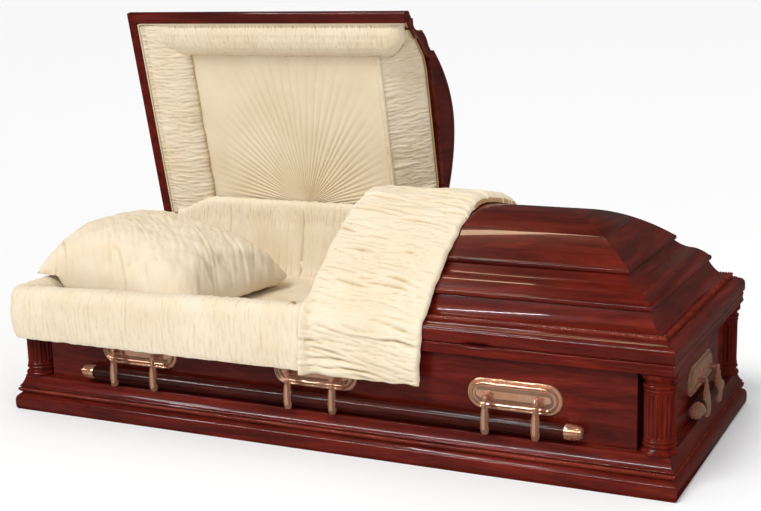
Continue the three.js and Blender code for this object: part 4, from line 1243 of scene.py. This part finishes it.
def build_bed():
    """Mattress cover with soft folds that rise towards the split."""
    inset = 77
    nx, ny = 230, 88
    xs = np.linspace(-(HALF_L - inset), HALF_L - inset, nx)
    ys = np.linspace(-(HALF_W - inset), HALF_W - inset, ny)
    x, y = np.meshgrid(xs, ys, indexing="ij")
    rise = 34 * np.exp(-((x + 90) / 130) ** 2) * ease((y + 380) / 160) + 5 * grain(x / 190, y / 160, 91)
    folds = 6 * crinkle((x + 0.5 * y) / 62, y / 130, 92) * np.exp(-((x + 150) / 260) ** 2)
    folds = folds + 1.6 * crinkle(x / 17, y / 90, 93)
    edge = np.minimum(HALF_L - inset - np.abs(x), HALF_W - inset - np.abs(y))
    z = 300 + (rise + folds) * ease(edge / 60) - 12 * (1 - np.clip(edge / 22, 0, 1)) ** 2
    quads = grid_quads(nx, ny)[1]
    cx, cy = x.ravel()[quads].mean(1), y.ravel()[quads].mean(1)
    notched = (np.abs(cx) > HALF_L - inset - 72) & (np.abs(cy) > HALF_W - inset - 72)
    obj = add_mesh("bed_cover", np.stack([x, y, z], -1).reshape(-1, 3) * MM, quads[~notched].tolist(), 180)
    bm = bmesh.new()
    bm.from_mesh(obj.data)
    bmesh.ops.delete(bm, geom=[p for p in bm.verts if not p.link_faces], context="VERTS")
    border = [e for e in bm.edges if e.is_boundary]
    grown = bmesh.ops.extrude_edge_only(bm, edges=border)["geom"]
    lowered = [g for g in grown if isinstance(g, bmesh.types.BMVert)]
    for p in lowered:
        p.co.z = BODY_FLOOR
    bmesh.ops.holes_fill(bm, edges=[e for e in bm.edges if e.is_boundary])
    bmesh.ops.recalc_face_normals(bm, faces=bm.faces)
    bm.to_mesh(obj.data)
    bm.free()
    obj.data.shade_smooth()
    dress(obj, "body", "crepe_cloth", crepe, nodes=["bed"])


def build_corner_covers():
    """Small padded covers over the corner blocks inside the collar."""
    u = np.linspace(0, 1, 22)[:, None]
    v = np.linspace(0, 1, 22)[None, :]
    dome = 4 * (np.sin(np.pi * u) * np.sin(np.pi * v)) ** 0.5
    for number, (sx, sy) in enumerate(((-1, -1), (1, -1), (1, 1), (-1, 1)), 1):
        x = sx * (HALF_L - 78 - CORNER_NOTCH * u)
        y = sy * (HALF_W - 78 - CORNER_NOTCH * v)
        top = np.stack([x + 0 * v, y + 0 * u, 350.5 + dome + 0.6 * crinkle(x / 12, y / 30, 110 + number)], -1)
        under = top - np.stack([0 * dome, 0 * dome, dome + 2.5], -1)
        obj = closed_piece(f"corner_cover_{number}", top, under)
        dress(obj, "body", "crepe_cloth", crepe)


def lining_outline(inset):
    """The body's inner plan with its corner notches, counter-clockwise."""
    x, y = HALF_L - inset, HALF_W - inset
    c = CORNER_NOTCH
    return [(x - c, -y), (x - c, c - y), (x, c - y), (x, y - c), (x - c, y - c), (x - c, y),
            (c - x, y), (c - x, y - c), (-x, y - c), (-x, c - y), (c - x, c - y), (c - x, -y)]


def build_side_lining():
    """Gathered cloth on the body's inner walls."""
    outer, inner = lining_outline(69), lining_outline(76)
    depth = np.linspace(0, 1, 14)[None, :]
    z = 351 - 200 * depth
    walls, fronts = [], []
    for k in range(12):
        a, b = np.array(inner[k], float), np.array(inner[(k + 1) % 12], float)
        p, q = np.array(outer[k], float), np.array(outer[(k + 1) % 12], float)
        length = np.linalg.norm(b - a)
        count = max(2, int(length / 6.5))
        share = np.arange(count)[:, None] / count
        step = (b - a) / length
        inward = np.array([-step[1], step[0]])
        s = share * length
        puff = 2.2 + 2.0 * puckers(s + 300 * k, z - 150, 101, 14, 120)
        puff = puff * ease(s / 12) * ease((length - s) / 12) * ease(depth / 0.04)
        point = a + share * (b - a)
        fronts.append(np.stack([point[:, :1] + inward[0] * puff, point[:, 1:] + inward[1] * puff,
                                z + 0 * s], -1))
        point = p + share * (q - p)
        walls.append(np.stack([point[:, :1] + 0 * z, point[:, 1:] + 0 * z, z + 0 * s], -1))
    front, back = np.concatenate(fronts), np.concatenate(walls)
    front, back = (np.concatenate([g, g[:1]]) for g in (front, back))
    obj = closed_piece("gathered_side_lining", front, back)
    merge_close(obj, 1e-5)
    dress(obj, "body", "crepe_cloth", crepe, nodes=["side_lining"])


def build_tab():
    """Small loop of tape on the collar beside the throw."""
    u = np.linspace(0, 16, 9)[:, None]
    v = np.linspace(0, 9, 5)[None, :]
    x = -52 + u + 0 * v
    points = np.stack([x, -408 - v + 0 * u, 424.5 + 1.6 * np.sin(np.pi * u / 16) + 0 * v], -1)
    obj = closed_piece("collar_tab", points, points - np.array([0, 0, 1.6]))
    dress(obj, "body", "crepe_cloth", tan_cloth)


def build_soft_goods():
    build_lid_lining()
    build_bed()
    build_side_lining()
    build_corner_covers()
    build_collar()
    build_throw()
    build_apron()
    build_pillow()
    build_tab()


# Camera, lights and floor
def build_camera():
    a, e, roll = CAMERA_AZIMUTH, CAMERA_ELEVATION, CAMERA_ROLL
    back = Vector((math.sin(a) * math.cos(e), -math.cos(a) * math.cos(e), math.sin(e)))
    right = Vector((math.cos(a), math.sin(a), 0))
    up = back.cross(right)
    tilted_right = math.cos(roll) * right + math.sin(roll) * up
    tilted_up = -math.sin(roll) * right + math.cos(roll) * up
    camera = bpy.data.cameras.new("camera")
    camera.sensor_width = SENSOR_MM
    camera.lens = FOCAL_PX / PHOTO_W * SENSOR_MM
    camera.shift_x = (PHOTO_W / 2 - OPTICAL_CENTRE_X) / PHOTO_W
    obj = place_in_scene("camera", camera)
    turn = Matrix((tilted_right, tilted_up, back)).transposed().to_4x4()
    obj.matrix_world = Matrix.Translation(CAMERA_AT) @ turn
    bpy.context.scene.camera = obj


def area_light(name, place, aim, size, power, colour=(1, 1, 1)):
    light = bpy.data.lights.new(name, "AREA")
    light.shape = "RECTANGLE"
    light.size, light.size_y = size
    light.energy = power
    light.color = colour
    obj = place_in_scene(name, light)
    direction = Vector(aim) - Vector(place)
    obj.rotation_euler = direction.to_track_quat("-Z", "Y").to_euler()
    obj.location = place
    return obj


def build_studio():
    bm = bmesh.new()
    bmesh.ops.create_circle(bm, cap_ends=True, radius=160, segments=96)
    mesh = bpy.data.meshes.new("floor")
    bm.to_mesh(mesh)
    bm.free()
    floor = place_in_scene("floor", mesh)
    material, shader, put, _ = node_material("pale_floor")
    put(shader, {"Base Color": (0.9, 0.9, 0.9, 1), "Roughness": 0.9, "Specular IOR Level": 0.1})
    mesh.materials.append(material)
    floor.visible_glossy = False
    world = bpy.data.worlds.new("studio")
    world.use_nodes = True
    world.node_tree.nodes["Background"].inputs["Color"].default_value = (1, 1, 1, 1)
    world.node_tree.nodes["Background"].inputs["Strength"].default_value = 0.6
    bpy.context.scene.world = world
    world.cycles_visibility.glossy = False
    sun = bpy.data.lights.new("soft_sky", "SUN")
    sun.energy = 2.05
    sun.angle = math.radians(30)
    obj = place_in_scene("soft_sky", sun)
    obj.rotation_euler = Vector((0.5, 1.9, -2.3)).to_track_quat("-Z", "Y").to_euler()
    obj.visible_glossy = False
    area_light("side_fill", (3.4, -2.8, 2.4), (-0.3, 0.4, 0.8), (1.5, 1.5), 40).visible_glossy = False
    for name, place, size, power, colour in (
            ("high_strip", (-1.2, -0.7, 3.3), (3.2, 0.05), 65, (1, 1, 1)),
            ("front_strip", (-1.2, -3.3, 2.4), (3.2, 0.05), 75, (1, 1, 1)),
            ("glint_box", (-2.6, -3.0, 2.0), (0.5, 0.5), 12, (1, 1, 1)),
            ("front_card", (-1.0, -3.4, -0.6), (5.0, 2.4), 11, (1, 1, 1)),
            ("back_card", (1.0, 4.0, 1.5), (8.0, 7.0), 13, (1.0, 0.92, 0.85)),
            ("shoulder_glow", (-0.5, 0.83, 3.15), (1.8, 0.2), 20, (1.0, 0.72, 0.48))):
        card = area_light(name, place, (0.2, 0, 0.4), size, power, colour)
        card.visible_diffuse = card.visible_camera = False
    bpy.context.scene.view_settings.view_transform = "Standard"


build_camera()
build_base()
build_rim()
build_columns()
build_lid("head_lid", -1, opened(), "head_lid")
build_lid("foot_lid", 1, None, "foot_lid")
build_handles()
build_soft_goods()
finish_nodes()
build_studio()
